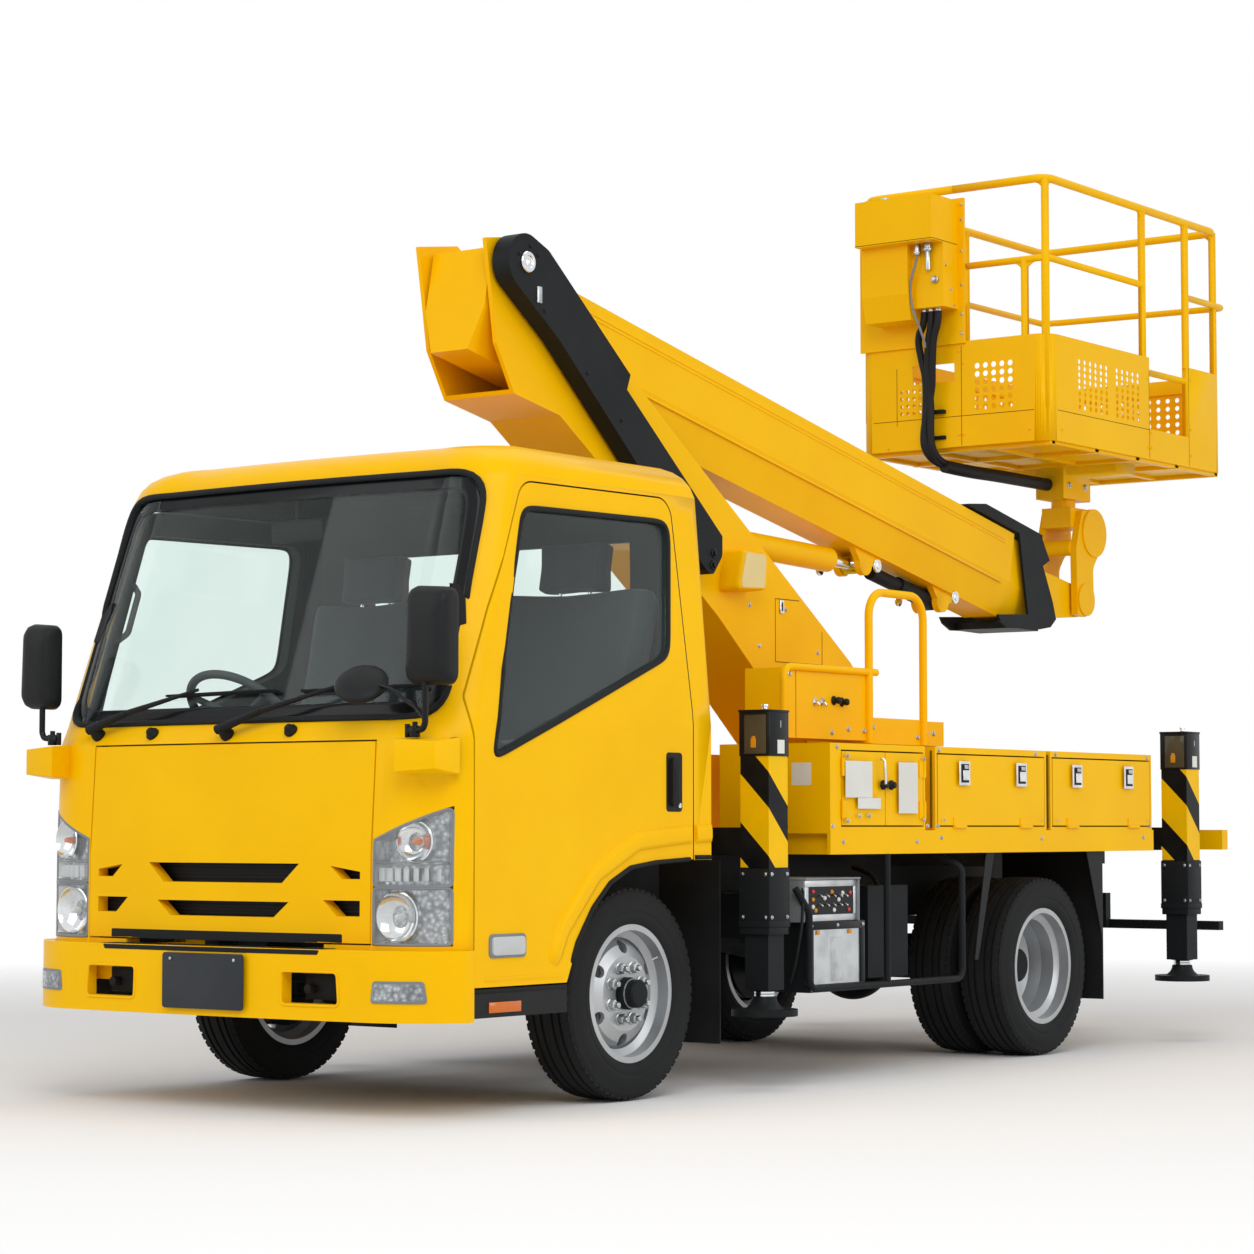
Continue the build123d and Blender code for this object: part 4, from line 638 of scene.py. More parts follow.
def striped_enamel(low, high, pitch, start, share):
    """Yellow enamel with slanted black warning stripes between two heights, black elsewhere."""
    material, tree, place = base_material("striped_enamel")
    parts = add(tree, "ShaderNodeSeparateXYZ", links={0: (place, "Object")})
    wide = add(tree, "ShaderNodeMath", {"operation": "ABSOLUTE"}, {0: (parts, "X")})
    across = add(tree, "ShaderNodeMath", {"operation": "ADD"}, {0: (wide, 0), 1: (parts, "Y")})
    slanted = add(tree, "ShaderNodeMath", {"operation": "ADD"}, {0: (across, 0), 1: (parts, "Z")})
    shifted = add(tree, "ShaderNodeMath", {"operation": "SUBTRACT", 1: start - 20 * pitch}, {0: (slanted, 0)})
    counted = add(tree, "ShaderNodeMath", {"operation": "DIVIDE", 1: pitch}, {0: (shifted, 0)})
    phase = add(tree, "ShaderNodeMath", {"operation": "FRACT"}, {0: (counted, 0)})
    dark = add(tree, "ShaderNodeMath", {"operation": "LESS_THAN", 1: share}, {0: (phase, 0)})
    above = add(tree, "ShaderNodeMath", {"operation": "GREATER_THAN", 1: high}, {0: (parts, "Z")})
    under = add(tree, "ShaderNodeMath", {"operation": "LESS_THAN", 1: low}, {0: (parts, "Z")})
    between = add(tree, "ShaderNodeMath", {"operation": "LESS_THAN", 1: JACK_INNER_X}, {0: (wide, 0)})
    below = add(tree, "ShaderNodeMath", {"operation": "MAXIMUM"}, {0: (under, 0), 1: (between, 0)})
    grime = noise(tree, place, 11.0, 4.0)
    yellow = ramp(tree, grime, "Fac", 0.35, "#EDBD08", 0.7, YELLOW)
    black = ramp(tree, grime, "Fac", 0.35, "#111214", 0.7, "#1B1D1F")
    band = add(tree, "ShaderNodeMix", {"data_type": "RGBA"}, {0: (dark, 0), 6: (yellow, 0), 7: (black, 0)})
    upper = add(tree, "ShaderNodeMix", {"data_type": "RGBA"}, {0: (above, 0), 6: (band, 2), 7: (black, 0)})
    whole = add(tree, "ShaderNodeMix", {"data_type": "RGBA"}, {0: (below, 0), 6: (upper, 2), 7: (black, 0)})
    gloss = spread(tree, grime, "Fac", 0.28, 0.42)
    shader = add(tree, "ShaderNodeBsdfPrincipled", {"IOR": 1.5, "Coat Weight": 0.05, "Specular IOR Level": SHEEN},
        {"Base Color": (whole, 2), "Roughness": (gloss, "Result")})
    shade(tree, shader)
    return material


def two_tone_enamel(split):
    """The deck's enamel: yellow plates above a height, black frame below it."""
    material, tree, place = base_material("two_tone_enamel")
    parts = add(tree, "ShaderNodeSeparateXYZ", links={0: (place, "Object")})
    low = add(tree, "ShaderNodeMath", {"operation": "LESS_THAN", 1: split}, {0: (parts, "Z")})
    cloud = noise(tree, place, 2.4, 4.0)
    yellow = ramp(tree, cloud, "Fac", 0.35, "#F7BC00", 0.7, YELLOW)
    black = ramp(tree, cloud, "Fac", 0.35, "#17191B", 0.7, "#202325")
    tint = add(tree, "ShaderNodeMix", {"data_type": "RGBA"}, {0: (low, 0), 6: (yellow, 0), 7: (black, 0)})
    gloss = spread(tree, cloud, "Fac", 0.3, 0.44)
    shader = add(tree, "ShaderNodeBsdfPrincipled", {"IOR": 1.5, "Specular IOR Level": SHEEN},
        {"Base Color": (tint, 2), "Roughness": (gloss, "Result")})
    shade(tree, shader)
    return material


def lined_cab_enamel():
    """Yellow enamel on the cab's outside, dark moulded lining on every face that looks into the cab."""
    material, tree, place = base_material("lined_cab_enamel")
    geometry = add(tree, "ShaderNodeNewGeometry")
    inward = add(tree, "ShaderNodeVectorMath", {"operation": "SUBTRACT", 1: tuple(at(0, -330, 1250))},
        {0: (place, "Object")})
    facing = add(tree, "ShaderNodeVectorMath", {"operation": "DOT_PRODUCT"},
        {0: (inward, 0), 1: (geometry, "Normal")})
    inward_face = add(tree, "ShaderNodeMath", {"operation": "LESS_THAN", 1: 0.1}, {0: (facing, "Value")})
    parts = add(tree, "ShaderNodeSeparateXYZ", links={0: (place, "Object")})
    behind = add(tree, "ShaderNodeMath", {"operation": "GREATER_THAN", 1: at(0, -938, 0).y}, {0: (parts, "Y")})
    inside = add(tree, "ShaderNodeMath", {"operation": "MULTIPLY"}, {0: (inward_face, 0), 1: (behind, 0)})
    cloud = noise(tree, place, 2.4, 4.0, 0.6)
    yellow = ramp(tree, cloud, "Fac", 0.35, "#F7BC00", 0.7, YELLOW)
    lining = ramp(tree, cloud, "Fac", 0.35, "#3A3F40", 0.7, "#474C4D")
    tint = add(tree, "ShaderNodeMix", {"data_type": "RGBA"}, {0: (inside, 0), 6: (yellow, 0), 7: (lining, 0)})
    peel = noise(tree, place, 76.0, 2.0)
    raised = relief(tree, peel, "Fac", 0.05, 0.0006)
    gloss = spread(tree, inside, 0, 0.3, 0.75)
    shader = add(tree, "ShaderNodeBsdfPrincipled", {"IOR": 1.5, "Coat Weight": 0.02, "Coat Roughness": 0.12,
        "Specular IOR Level": SHEEN}, {"Base Color": (tint, 2), "Roughness": (gloss, "Result"),
        "Normal": (raised, "Normal")})
    shade(tree, shader)
    return material


def woven(name, colour, lighter, thread_mm=1.6):
    """Seat cloth: a fine plain weave with a soft sheen."""
    material, tree, place = base_material(name)
    warp = add(tree, "ShaderNodeTexWave", {"bands_direction": "X", "Scale": WAVE / thread_mm, "Distortion": 0.6},
        {"Vector": (place, "Object")})
    weft = add(tree, "ShaderNodeTexWave", {"bands_direction": "Z", "Scale": WAVE / thread_mm, "Distortion": 0.6},
        {"Vector": (place, "Object")})
    weave = add(tree, "ShaderNodeMath", {"operation": "MULTIPLY"}, {0: (warp, "Fac"), 1: (weft, "Fac")})
    tint = ramp(tree, weave, 0, 0.1, colour, 0.8, lighter)
    raised = relief(tree, weave, 0, 0.4, 0.0006)
    shader = add(tree, "ShaderNodeBsdfPrincipled", {"Roughness": 0.85, "IOR": 1.45, "Sheen Weight": 0.25},
        {"Base Color": (tint, "Color"), "Normal": (raised, "Normal")})
    shade(tree, shader)
    return material


def filmed_reflector():
    """A vacuum-metallised bowl: mirror bright with a mottled moulded texture."""
    material, tree, place = base_material("metallised_bowl")
    dimple = add(tree, "ShaderNodeTexVoronoi", {"Scale": 70.0}, {"Vector": (place, "Object")})
    raised = relief(tree, dimple, "Distance", 0.35, 0.002)
    tint = ramp(tree, dimple, "Distance", 0.0, "#C9CED2", 0.8, "#5F656A")
    shader = add(tree, "ShaderNodeBsdfPrincipled", {"Metallic": 1.0, "Roughness": 0.16},
        {"Base Color": (tint, "Color"), "Normal": (raised, "Normal")})
    shade(tree, shader)
    return material


def make_materials():
    """Every finish on the truck."""
    # Two-pack machinery enamel, sprayed: deep even yellow with a soft gloss and faint orange peel
    paint("machinery_enamel_yellow", YELLOW, "#F7BC00", 0.34, 0.02)
    # Satin black enamel on steel: dark grey where light grazes it, slightly dusty
    paint("chassis_enamel_black", "#17191B", "#202325", 0.45, 0.0, dust=0.5)
    # Gloss black enamel on covers and tubes
    paint("gloss_enamel_black", "#131416", "#191B1D", 0.22, 0.15)
    # Rough sand-cast iron, oiled and dusty
    paint("sand_cast_iron", "#2B2C2D", "#1D1E1F", 0.6, 0.0, grain_mm=5.0, bump=0.5, metallic=0.2)
    # Silver wheel lacquer: aluminium flake in a clear coat
    paint("silver_wheel_lacquer", "#BFC2C4", "#A4A7AA", 0.34, 0.3, metallic=0.6)
    # Pale grey cabinet enamel on trim frames
    paint("grey_trim_enamel", "#8B9094", "#7D8286", 0.4, 0.1)
    # Brown smoked film behind the jack windows
    paint("smoked_panel", "#55503F", "#3F3B30", 0.3, 0.5)
    # Orange bulb cover behind the smoked window
    paint("amber_plastic", "#E39A1D", "#C77F12", 0.3, 0.3)
    # Sun-faded blank decal
    paint("faded_decal", "#E8D8A4", "#DCC98C", 0.55, 0.0, bump=0.02)
    # Blank vinyl labels and the blank number plate
    paint("white_vinyl", "#E6E6E1", "#D9D9D2", 0.5, 0.0, bump=0.02)
    paint("plate_enamel", "#3B3E42", "#33363A", 0.45, 0.1)
    # Natural and synthetic rubber tyre compound, matt with a grey bloom
    moulded("tyre_compound", "#1A1B1C", "#242526", 0.75, grain_mm=2.0)
    # EPDM gasket rubber: matt black with a fine skin
    moulded("gasket_rubber", "#101112", "#18191A", 0.6)
    # Textured black ABS for grilles, mirror shells and handles
    moulded("textured_abs", "#141516", "#1C1D1F", 0.5, grain_mm=1.6)
    # Polypropylene dashboard and cab lining, grey
    moulded("cab_lining", "#4A4D50", "#5A5D60", 0.7)
    # Braided hydraulic hose cover
    moulded("hose_cover_rubber", "#161718", "#222325", 0.55)
    # Chromed and zinc-plated steel
    brushed("hard_chrome", "#E3E6E8", "#C9CDD0", 0.1)
    brushed("zinc_plate", "#C3C7C8", "#9A9E9F", 0.3)
    # Weathered stainless and aluminium sheet
    brushed("aluminium_sheet", "#C9CCCE", "#B1B5B7", 0.32)
    safety_glass()
    # Clear and amber fluted polycarbonate
    lens("fluted_lens", "#F2F6F7", 6.0, see_through=0.9)
    lens("side_lens", "#E8ECEC", 6.0, see_through=0.38)
    lens("amber_lens", "#E8730A", 4.0, see_through=0.19)
    lens("red_button", "#C4201A", 9.0, see_through=0.0, roughness=0.3)
    striped_enamel(low=0.711, high=1.069, pitch=0.2705, start=0.4565, share=0.425)
    lined_cab_enamel()
    two_tone_enamel(split=0.7495)
    woven("seat_cloth", "#33363A", "#4B4F55")
    filmed_reflector()
    # Painted shade for the dark gaps round panels and doors: a shaded copy of the yellow enamel
    paint("basket_hole_shadow", "#7A5B08", "#6A4F06", 0.6, 0.0)


NODE_FINISH = {"yellow_paint": "machinery_enamel_yellow", "black_paint": "chassis_enamel_black",
    "cab_glass": "laminated_glass", "lamp_lens": "fluted_lens", "black_plastic": "textured_abs",
    "seat_fabric": "seat_cloth", "cast_iron": "sand_cast_iron", "silver_rim": "silver_wheel_lacquer",
    "tyre_rubber": "tyre_compound", "rubber": "hose_cover_rubber", "bright_steel": "hard_chrome",}


# Sizes and colours that a user may change
class TruckStageSettings(bpy.types.PropertyGroup):
    """Light and view."""
    lens_mm: bpy.props.FloatProperty(name="Lens", description="Focal length of the camera in millimetres",
        default=91.5, min=20, max=300)
    light: bpy.props.FloatProperty(name="Light", description="Strength of all lamps", default=1.0, min=0, max=4)


class TruckCabSettings(bpy.types.PropertyGroup):
    """Cab trim."""
    gasket: bpy.props.FloatProperty(name="Gasket width",
        description="Width of the rubber round the windscreen in mm", default=19.0, min=10, max=60)
    wiper: bpy.props.FloatProperty(name="Wiper blade", description="Length of one wiper blade in mm", default=456.0,
        min=200, max=600)


class TruckWheelSettings(bpy.types.PropertyGroup):
    """Tyres and wheels."""
    groove: bpy.props.FloatProperty(name="Groove depth", description="Depth of the tread grooves in mm",
        default=9.0, min=1, max=14)
    blocks: bpy.props.IntProperty(name="Shoulder blocks", description="Blocks round one shoulder of a tyre",
        default=64, min=20, max=90)
    nuts: bpy.props.IntProperty(name="Wheel nuts", description="Nuts on one wheel", default=8, min=4, max=10)


# Stage: the camera as solved on the photograph
CAMERA_PLACE = (6.6561, -9.8763, 0.8396)
CAMERA_VIEW = (-0.593775, 0.802178, 0.062781)


class TRUCK_OT_stage(bpy.types.Operator):
    """White floor and surroundings, soft lamps, and the camera"""
    bl_idname = "truck.stage"
    bl_label = "Stage"

    def execute(self, context):
        settings = context.scene.truck_stage
        scene = context.scene
        scene.view_settings.view_transform = "Standard"
        world = bpy.data.worlds.new("studio")
        world.use_nodes = True
        tree = world.node_tree
        tree.nodes.clear()
        path = add(tree, "ShaderNodeLightPath")
        first = add(tree, "ShaderNodeMath", {"operation": "MAXIMUM"},
            {0: (path, "Is Camera Ray"), 1: (path, "Is Glossy Ray")})
        seen = add(tree, "ShaderNodeMath", {"operation": "MAXIMUM"},
            {0: (first, 0), 1: (path, "Is Transmission Ray")})
        level = spread(tree, seen, 0, 0.52 * settings.light, 1.0)
        glow = add(tree, "ShaderNodeBackground", {"Color": (1, 1, 1, 1)}, {"Strength": (level, "Result")})
        add(tree, "ShaderNodeOutputWorld", links={"Surface": (glow, 0)})
        scene.world = world

        material, tree, place = base_material("white_studio_floor")
        reach = add(tree, "ShaderNodeVectorMath", {"operation": "LENGTH"}, {0: (place, "Object")})
        fade = add(tree, "ShaderNodeMapRange", {"From Min": 4.0, "From Max": 9.0, "To Min": 0.0, "To Max": 1.0},
            {"Value": (reach, "Value")})
        matt = add(tree, "ShaderNodeBsdfDiffuse", {"Color": (0.93, 0.93, 0.93, 1)})
        clear = add(tree, "ShaderNodeBsdfTransparent")
        mixed = add(tree, "ShaderNodeMixShader", links={0: (fade, "Result"), 1: (matt, 0), 2: (clear, 0)})
        shade(tree, mixed)
        bm = bmesh.new()
        corners = [bm.verts.new((x, y, -0.002)) for x, y in ((-12, -12), (12, -12), (12, 12), (-12, 12))]
        bm.faces.new(corners)
        floor = new_object("studio_floor", bm)
        floor.data.materials.append(material)

        lamps = (
            # name, place, aimed at, size, watts
            ("key", (5.5, -7.5, 6.5), (0.0, -0.6, 1.2), 5.0, 300),
            ("front", (-3.0, -9.0, 4.5), (0.0, -2.0, 1.0), 5.0, 120),
            ("side", (9.0, 1.5, 3.5), (0.0, 0.8, 1.4), 5.0, 170),
            ("top", (0.5, 0.5, 9.0), (0.0, 0.0, 1.0), 6.0, 120),
        )
        for name, spot, aim, size, watts in lamps:
            light = bpy.data.lights.new(name, "AREA")
            light.shape = "SQUARE"
            light.size = size
            light.energy = watts * settings.light
            lamp = bpy.data.objects.new(name, light)
            lamp.location = spot
            lamp.rotation_euler = (Vector(aim) - Vector(spot)).to_track_quat("-Z", "Y").to_euler()
            scene.collection.objects.link(lamp)

        data = bpy.data.cameras.new("camera")
        data.lens = settings.lens_mm
        data.sensor_width = 36.0
        data.clip_end = 100
        camera = bpy.data.objects.new("camera", data)
        camera.location = CAMERA_PLACE
        view = Vector(CAMERA_VIEW)
        camera.rotation_euler = view.to_track_quat("-Z", "Y").to_euler()
        scene.collection.objects.link(camera)
        scene.camera = camera
        return {"FINISHED"}


class TRUCK_OT_finish(bpy.types.Operator):
    """Give every piece of the frame its real finish"""
    bl_idname = "truck.finish"
    bl_label = "Finishes"

    def execute(self, context):
        make_materials()
        special = {"jack_sleeves": "striped_enamel", "oil_tank": "chassis_enamel_black", "deck": "two_tone_enamel",
            "cab_shell": "lined_cab_enamel", "door_left": "lined_cab_enamel", "door_right": "lined_cab_enamel",
            "dashboard": "cab_lining", "steering_wheel": "cab_lining"}
        for row in frame["record"]["subparts"]:
            node = frame["nodes"][row["node"]]
            name = special.get(row["node"], NODE_FINISH[row["material_slot"]])
            material = bpy.data.materials[name]
            for slot in node.material_slots:
                slot.material = material
            if not node.material_slots:
                node.data.materials.append(material)
        return {"FINISHED"}


# Tyres and wheels
TYRE_SECTION = (
    # across the tyre from its outer face, radius, in millimetres
    (28, 206), (22, 208), (13, 214), (5, 226), (1.5, 238), (0.6, 246), (1.6, 248), (1.6, 252), (0, 254), (0, 262),
    (1.2, 270), (1.2, 274), (2.6, 282), (6, 294), (9, 304), (9, 308), (12, 314), (17, 320), (26, 325),
)


def tyre(name, body, outer_x, side, width, axle_y, groove, blocks):
    """One ribbed tyre with its shoulder blocks."""
    half = list(TYRE_SECTION)
    for centre in (48, 76):
        half += [(centre - 5, 327.4), (centre - 3.2, 327.4 - groove), (centre + 3.2, 327.4 - groove),
            (centre + 5, 327.6)]
    mirrored = [(width - across, radius) for across, radius in reversed(half)]
    profile = half + [(width / 2, 328.0)] + mirrored
    closing = [(width - 28, 204), (28, 204)]
    bm = bmesh.new()
    rows = [(across * MM, radius * MM) for across, radius in profile + closing]
    centre = Vector((outer_x * MM * side, AXLE_Y + axle_y * MM, AXLE_Z))
    add_lathe(bm, centre, (-side, 0, 0), rows, 96, closed=True)
    ring = shaped(name, bm, "tyre_compound", body, smooth_deg=40)

    bm = bmesh.new()
    add_box(bm, (-0.0055, -0.011, -0.004), (0.0055, 0.011, 0.0022))
    part = new_object("shoulder_block_part", bm)
    spots = []
    for across in (20, width - 20):
        for step in range(blocks):
            angle = math.tau * step / blocks
            spot = Vector((centre.x - side * across * MM, centre.y + math.cos(angle) * 0.3215,
                centre.z + math.sin(angle) * 0.3215))
            spots.append((spot, Vector((0, math.cos(angle), math.sin(angle)))))
    scatter(name + "_shoulder_blocks", spots, part, "tyre_compound", body)
    bpy.data.objects.remove(part)
    return ring


class TRUCK_OT_tyres(bpy.types.Operator):
    """Ribbed road tyres with shoulder blocks, in place of the plain ones"""
    bl_idname = "truck.tyres"
    bl_label = "Tyres"

    def execute(self, context):
        settings = context.scene.truck_wheels
        rear_y = (REAR_AXLE_Y - AXLE_Y) / MM
        for name, side in SIDES:
            low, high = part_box(f"tyre_front_{name}")
            outer = max(abs(low[0]), abs(high[0])) / MM
            width = (high[0] - low[0]) / MM
            piece = tyre(f"road_tyre_front_{name}", f"front_wheel_{name}", outer, side, width, 0, settings.groove,
                settings.blocks)
            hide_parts(f"tyre_front_{name}")
            low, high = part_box(f"tyres_rear_{name}")
            far = max(abs(low[0]), abs(high[0])) / MM
            near = min(abs(low[0]), abs(high[0])) / MM
            piece = tyre(f"road_tyre_rear_outer_{name}", f"rear_wheels_{name}", far, side, width, rear_y,
                settings.groove, settings.blocks)
            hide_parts(f"tyres_rear_{name}")
            tyre(f"road_tyre_rear_inner_{name}", f"rear_wheels_{name}", near + width, side, width, rear_y,
                settings.groove, settings.blocks)
        return {"FINISHED"}


class TRUCK_OT_wheel_fittings(bpy.types.Operator):
    """Wheel nuts, hub caps and valves"""
    bl_idname = "truck.wheel_fittings"
    bl_label = "Wheel nuts and hubs"

    def execute(self, context):
        count = context.scene.truck_wheels.nuts
        rear_y = (REAR_AXLE_Y - AXLE_Y) / MM
        rows = (
            # body, face x, ring radius, hub cap (along x from the face, radius), axle y
            ("front_wheel", 760, 84, ((-2, 50), (18, 50), (24, 47), (30, 44), (52, 43), (57, 38), (58, 30)), 0),
            ("rear_wheels", 648, 88, ((-2, 78), (12, 78), (16, 66), (60, 62), (84, 61), (90, 56), (92, 40)),
             rear_y),
        )
        for body, face_x, radius, cap, axle_y in rows:
            for name, side in SIDES:
                bm = bmesh.new()
                add_lathe(bm, (0, 0, 0), (0, 0, 1), ((-0.001, 0.02), (0.003, 0.02), (0.004, 0.018)), 20)
                add_lathe(bm, (0, 0, 0.003), (0, 0, 1), ((0, 0.0165), (0.016, 0.0165), (0.019, 0.0135)), 6)
                add_lathe(bm, (0, 0, 0.02), (0, 0, 1), ((0, 0.0095), (0.012, 0.0095), (0.014, 0.008)), 12)
                part = new_object("nut_part", bm)
                spots = []
                for step in range(count):
                    angle = math.tau * (step + 0.5) / count
                    spot = at(side * face_x, axle_y + math.cos(angle) * radius, 0)
                    spot.z = AXLE_Z + math.sin(angle) * radius * MM
                    spots.append((spot, Vector((side, 0, 0))))
                scatter(f"nuts_{body}_{name}", spots, part, "zinc_plate", f"{body}_{name}")
                bpy.data.objects.remove(part)
                bm = bmesh.new()
                centre = at(side * face_x, axle_y, 0)
                centre.z = AXLE_Z
                add_lathe(bm, centre, (side, 0, 0), metres(cap), 48)
                shaped(f"hub_cap_{body}_{name}", bm, "chassis_enamel_black", f"{body}_{name}", "silver_rim",
                    bevel=0.001)
                bm = bmesh.new()
                stem = at(side * (face_x + 14), axle_y + 118, 0)
                stem.z = AXLE_Z + 0.1
                add_round(bm, stem, stem + Vector((side * 0.016, 0.01, 0.009)), 0.0045, 12)
                shaped(f"valve_{body}_{name}", bm, "zinc_plate", f"{body}_{name}")
        return {"FINISHED"}


# Cab
SCREEN_OUTLINE = ((-766, 1158), (766, 1158), (735, 1896), (-735, 1896))
SCREEN_RADII = (80, 80, 95, 95)
WINDOW_OUTLINE = ((-757, 1040), (-700, 1300), (-564, 1790), (177, 1802), (132, 1375))
WINDOW_RADII = (20, 300, 60, 50, 70)


class TRUCK_OT_glazing_rubber(bpy.types.Operator):
    """Rubber round the windscreen and the door windows"""
    bl_idname = "truck.glazing_rubber"
    bl_label = "Glazing rubber"

    def execute(self, context):
        width = context.scene.truck_cab.gasket
        path = [on_front(x, z) for x, z in outline_points(SCREEN_OUTLINE, SCREEN_RADII, 28)]
        raised = [(spot + normal * 0.004, normal) for spot, normal in smooth_path(path)]
        seal("windscreen_gasket", raised, width, 7, "gasket_rubber")
        # Baked black border inside the edge of the glass
        inner = [(x * 0.966, 1527 + (z - 1527) * 0.93) for x, z in SCREEN_OUTLINE]
        path = [on_front(x, z) for x, z in outline_points(inner, SCREEN_RADII, 28)]
        seal("windscreen_border", smooth_path(path), 46, 1.6, "gloss_enamel_black", "truck", "black_plastic")
        for name, side in SIDES:
            path = [on_side(y, z, side) for y, z in outline_points(WINDOW_OUTLINE, WINDOW_RADII, 28)]
            seal(f"window_gasket_{name}", smooth_path(path), 18, 6, "gasket_rubber", f"door_{name}")
        return {"FINISHED"}


def smooth_path(path, rounds_of=3, closed=True):
    """A path with its small steps evened out and its normals averaged; an open one keeps its ends."""
    for _ in range(rounds_of):
        count = len(path)
        eased = [((path[i - 1][0] + path[i][0] * 2 + path[(i + 1) % count][0]) / 4,
            (path[i - 1][1] + path[i][1] * 2 + path[(i + 1) % count][1]).normalized()) for i in range(count)]
        path = eased if closed else [path[0]] + eased[1:-1] + [path[-1]]
    return path


class TRUCK_OT_wipers(bpy.types.Operator):
    """Two wipers and the washer nozzles"""
    bl_idname = "truck.wipers"
    bl_label = "Wipers"

    def execute(self, context):
        half = context.scene.truck_cab.wiper / 2
        rows = (
            # pivot x and z, arm end x and z, middle x of the blade
            (-583, 1124, -168, 1248, -92), (-8, 1116, 409, 1250, 468),
        )
        for index, (pivot_x, pivot_z, end_x, end_z, blade_x) in enumerate(rows):
            bm = bmesh.new()
            pivot, facing = on_front(pivot_x, pivot_z)
            end, end_facing = on_front(end_x, end_z)
            add_lathe(bm, pivot, facing, ((-0.002, 0.022), (0.012, 0.022), (0.03, 0.016), (0.045, 0.014),
                (0.048, 0.009)), 24)
            top, tip = pivot + facing * 0.036, end + end_facing * 0.034
            middle = top.lerp(tip, 0.35) + facing * 0.012
            add_round(bm, top - (tip - top).normalized() * 0.018, middle, 0.015, 10, 0.0095)
            add_round(bm, middle, tip, 0.0095, 10, 0.005)
            shaped(f"wiper_arm_{index}", bm, "gasket_rubber", bevel=0.0015)
            path = []
            for step in range(9):
                share = step / 8 * 2 - 1
                spot, normal = on_front(blade_x + share * half, end_z - 6 + share * 4)
                path.append((spot, normal))
            bm = bmesh.new()
            for (low, low_facing), (high, high_facing) in zip(path, path[1:]):
                add_round(bm, low + low_facing * 0.006, high + high_facing * 0.006, 0.0045, 8)
                add_round(bm, low + low_facing * 0.019, high + high_facing * 0.019, 0.0038, 8)
            for spot, normal in path[1::2]:
                add_round(bm, spot + normal * 0.006, spot + normal * 0.02, 0.004, 8)
            shaped(f"wiper_blade_{index}", bm, "gasket_rubber")
        for index, (x, z) in enumerate(((-335, 1124), (240, 1124))):
            spot, facing = on_front(x, z)
            bm = bmesh.new()
            add_lathe(bm, spot, facing, ((-0.002, 0.021), (0.008, 0.021), (0.013, 0.016), (0.022, 0.012),
                (0.026, 0.007)), 20)
            add_round(bm, spot + facing * 0.012 - Vector((0, 0, 0.004)),
                spot + facing * 0.02 - Vector((0, 0, 0.024)), 0.009, 12)
            shaped(f"washer_nozzle_{index}", bm, "gasket_rubber")
        return {"FINISHED"}


class TRUCK_OT_door_trim(bpy.types.Operator):
    """Door handles, side lamps, the ridges and lips round the wheel arches, and a lower rib on each door"""
    bl_idname = "truck.door_trim"
    bl_label = "Door trim"

    def execute(self, context):
        for name, side in SIDES:
            def place(y, z):
                return on_side(y, z, side)
            door = f"door_{name}"
            wrap(f"handle_recess_{name}", ((98, 888), (182, 888), (182, 1074), (98, 1074)), 2, place,
                "textured_abs", door, radius=14)
            wrap(f"handle_grip_{name}", ((112, 905), (150, 905), (150, 1058), (112, 1058)), 16, place,
                "gasket_rubber", door, radius=16, crown=6)
            wrap(f"handle_lock_{name}", ((158, 900), (174, 900), (174, 916), (158, 916)), 5, place, "hard_chrome",
                door, radius=7)
            wrap(f"side_lamp_frame_{name}", ((-778, 462), (-606, 462), (-606, 532), (-778, 532)), 4, place,
                "grey_trim_enamel", door, "black_plastic", radius=18)
            wrap(f"side_lamp_{name}", ((-768, 470), (-616, 470), (-616, 524), (-768, 524)), 9, place, "side_lens",
                door, radius=14, crown=6)
            ridge = open_line(((-507, 378), (-430, 535), (-268, 700), (-53, 797), (120, 812), (222, 818)))
            seal(f"arch_ridge_{name}", smooth_path([on_side(y, z, side) for y, z in ridge], 2, False), 62, 11,
                "machinery_enamel_yellow", door, closed=False)
            ridge = open_line(((252, 819), (300, 821), (334, 822)))
            seal(f"arch_ridge_rear_{name}", [on_side(y, z, side) for y, z in ridge], 62, 11,
                "machinery_enamel_yellow", closed=False)
            lip = open_line(((-413, 378), (-360, 496), (-282, 598), (-195, 672), (-90, 717), (44, 732), (222, 740)))
            seal(f"arch_lip_{name}", smooth_path([on_side(y, z, side) for y, z in lip], 2, False), 15, 8,
                "gasket_rubber", door, closed=False)
            lip = open_line(((252, 746), (300, 746), (334, 746)))
            seal(f"arch_lip_rear_{name}", [on_side(y, z, side) for y, z in lip], 15, 8, "gasket_rubber",
                closed=False)
            wrap(f"door_lower_rib_{name}", ((-800, 398), (-420, 398), (-440, 408), (-800, 408)), 2.5, place,
                "machinery_enamel_yellow", door, radius=4)
        return {"FINISHED"}


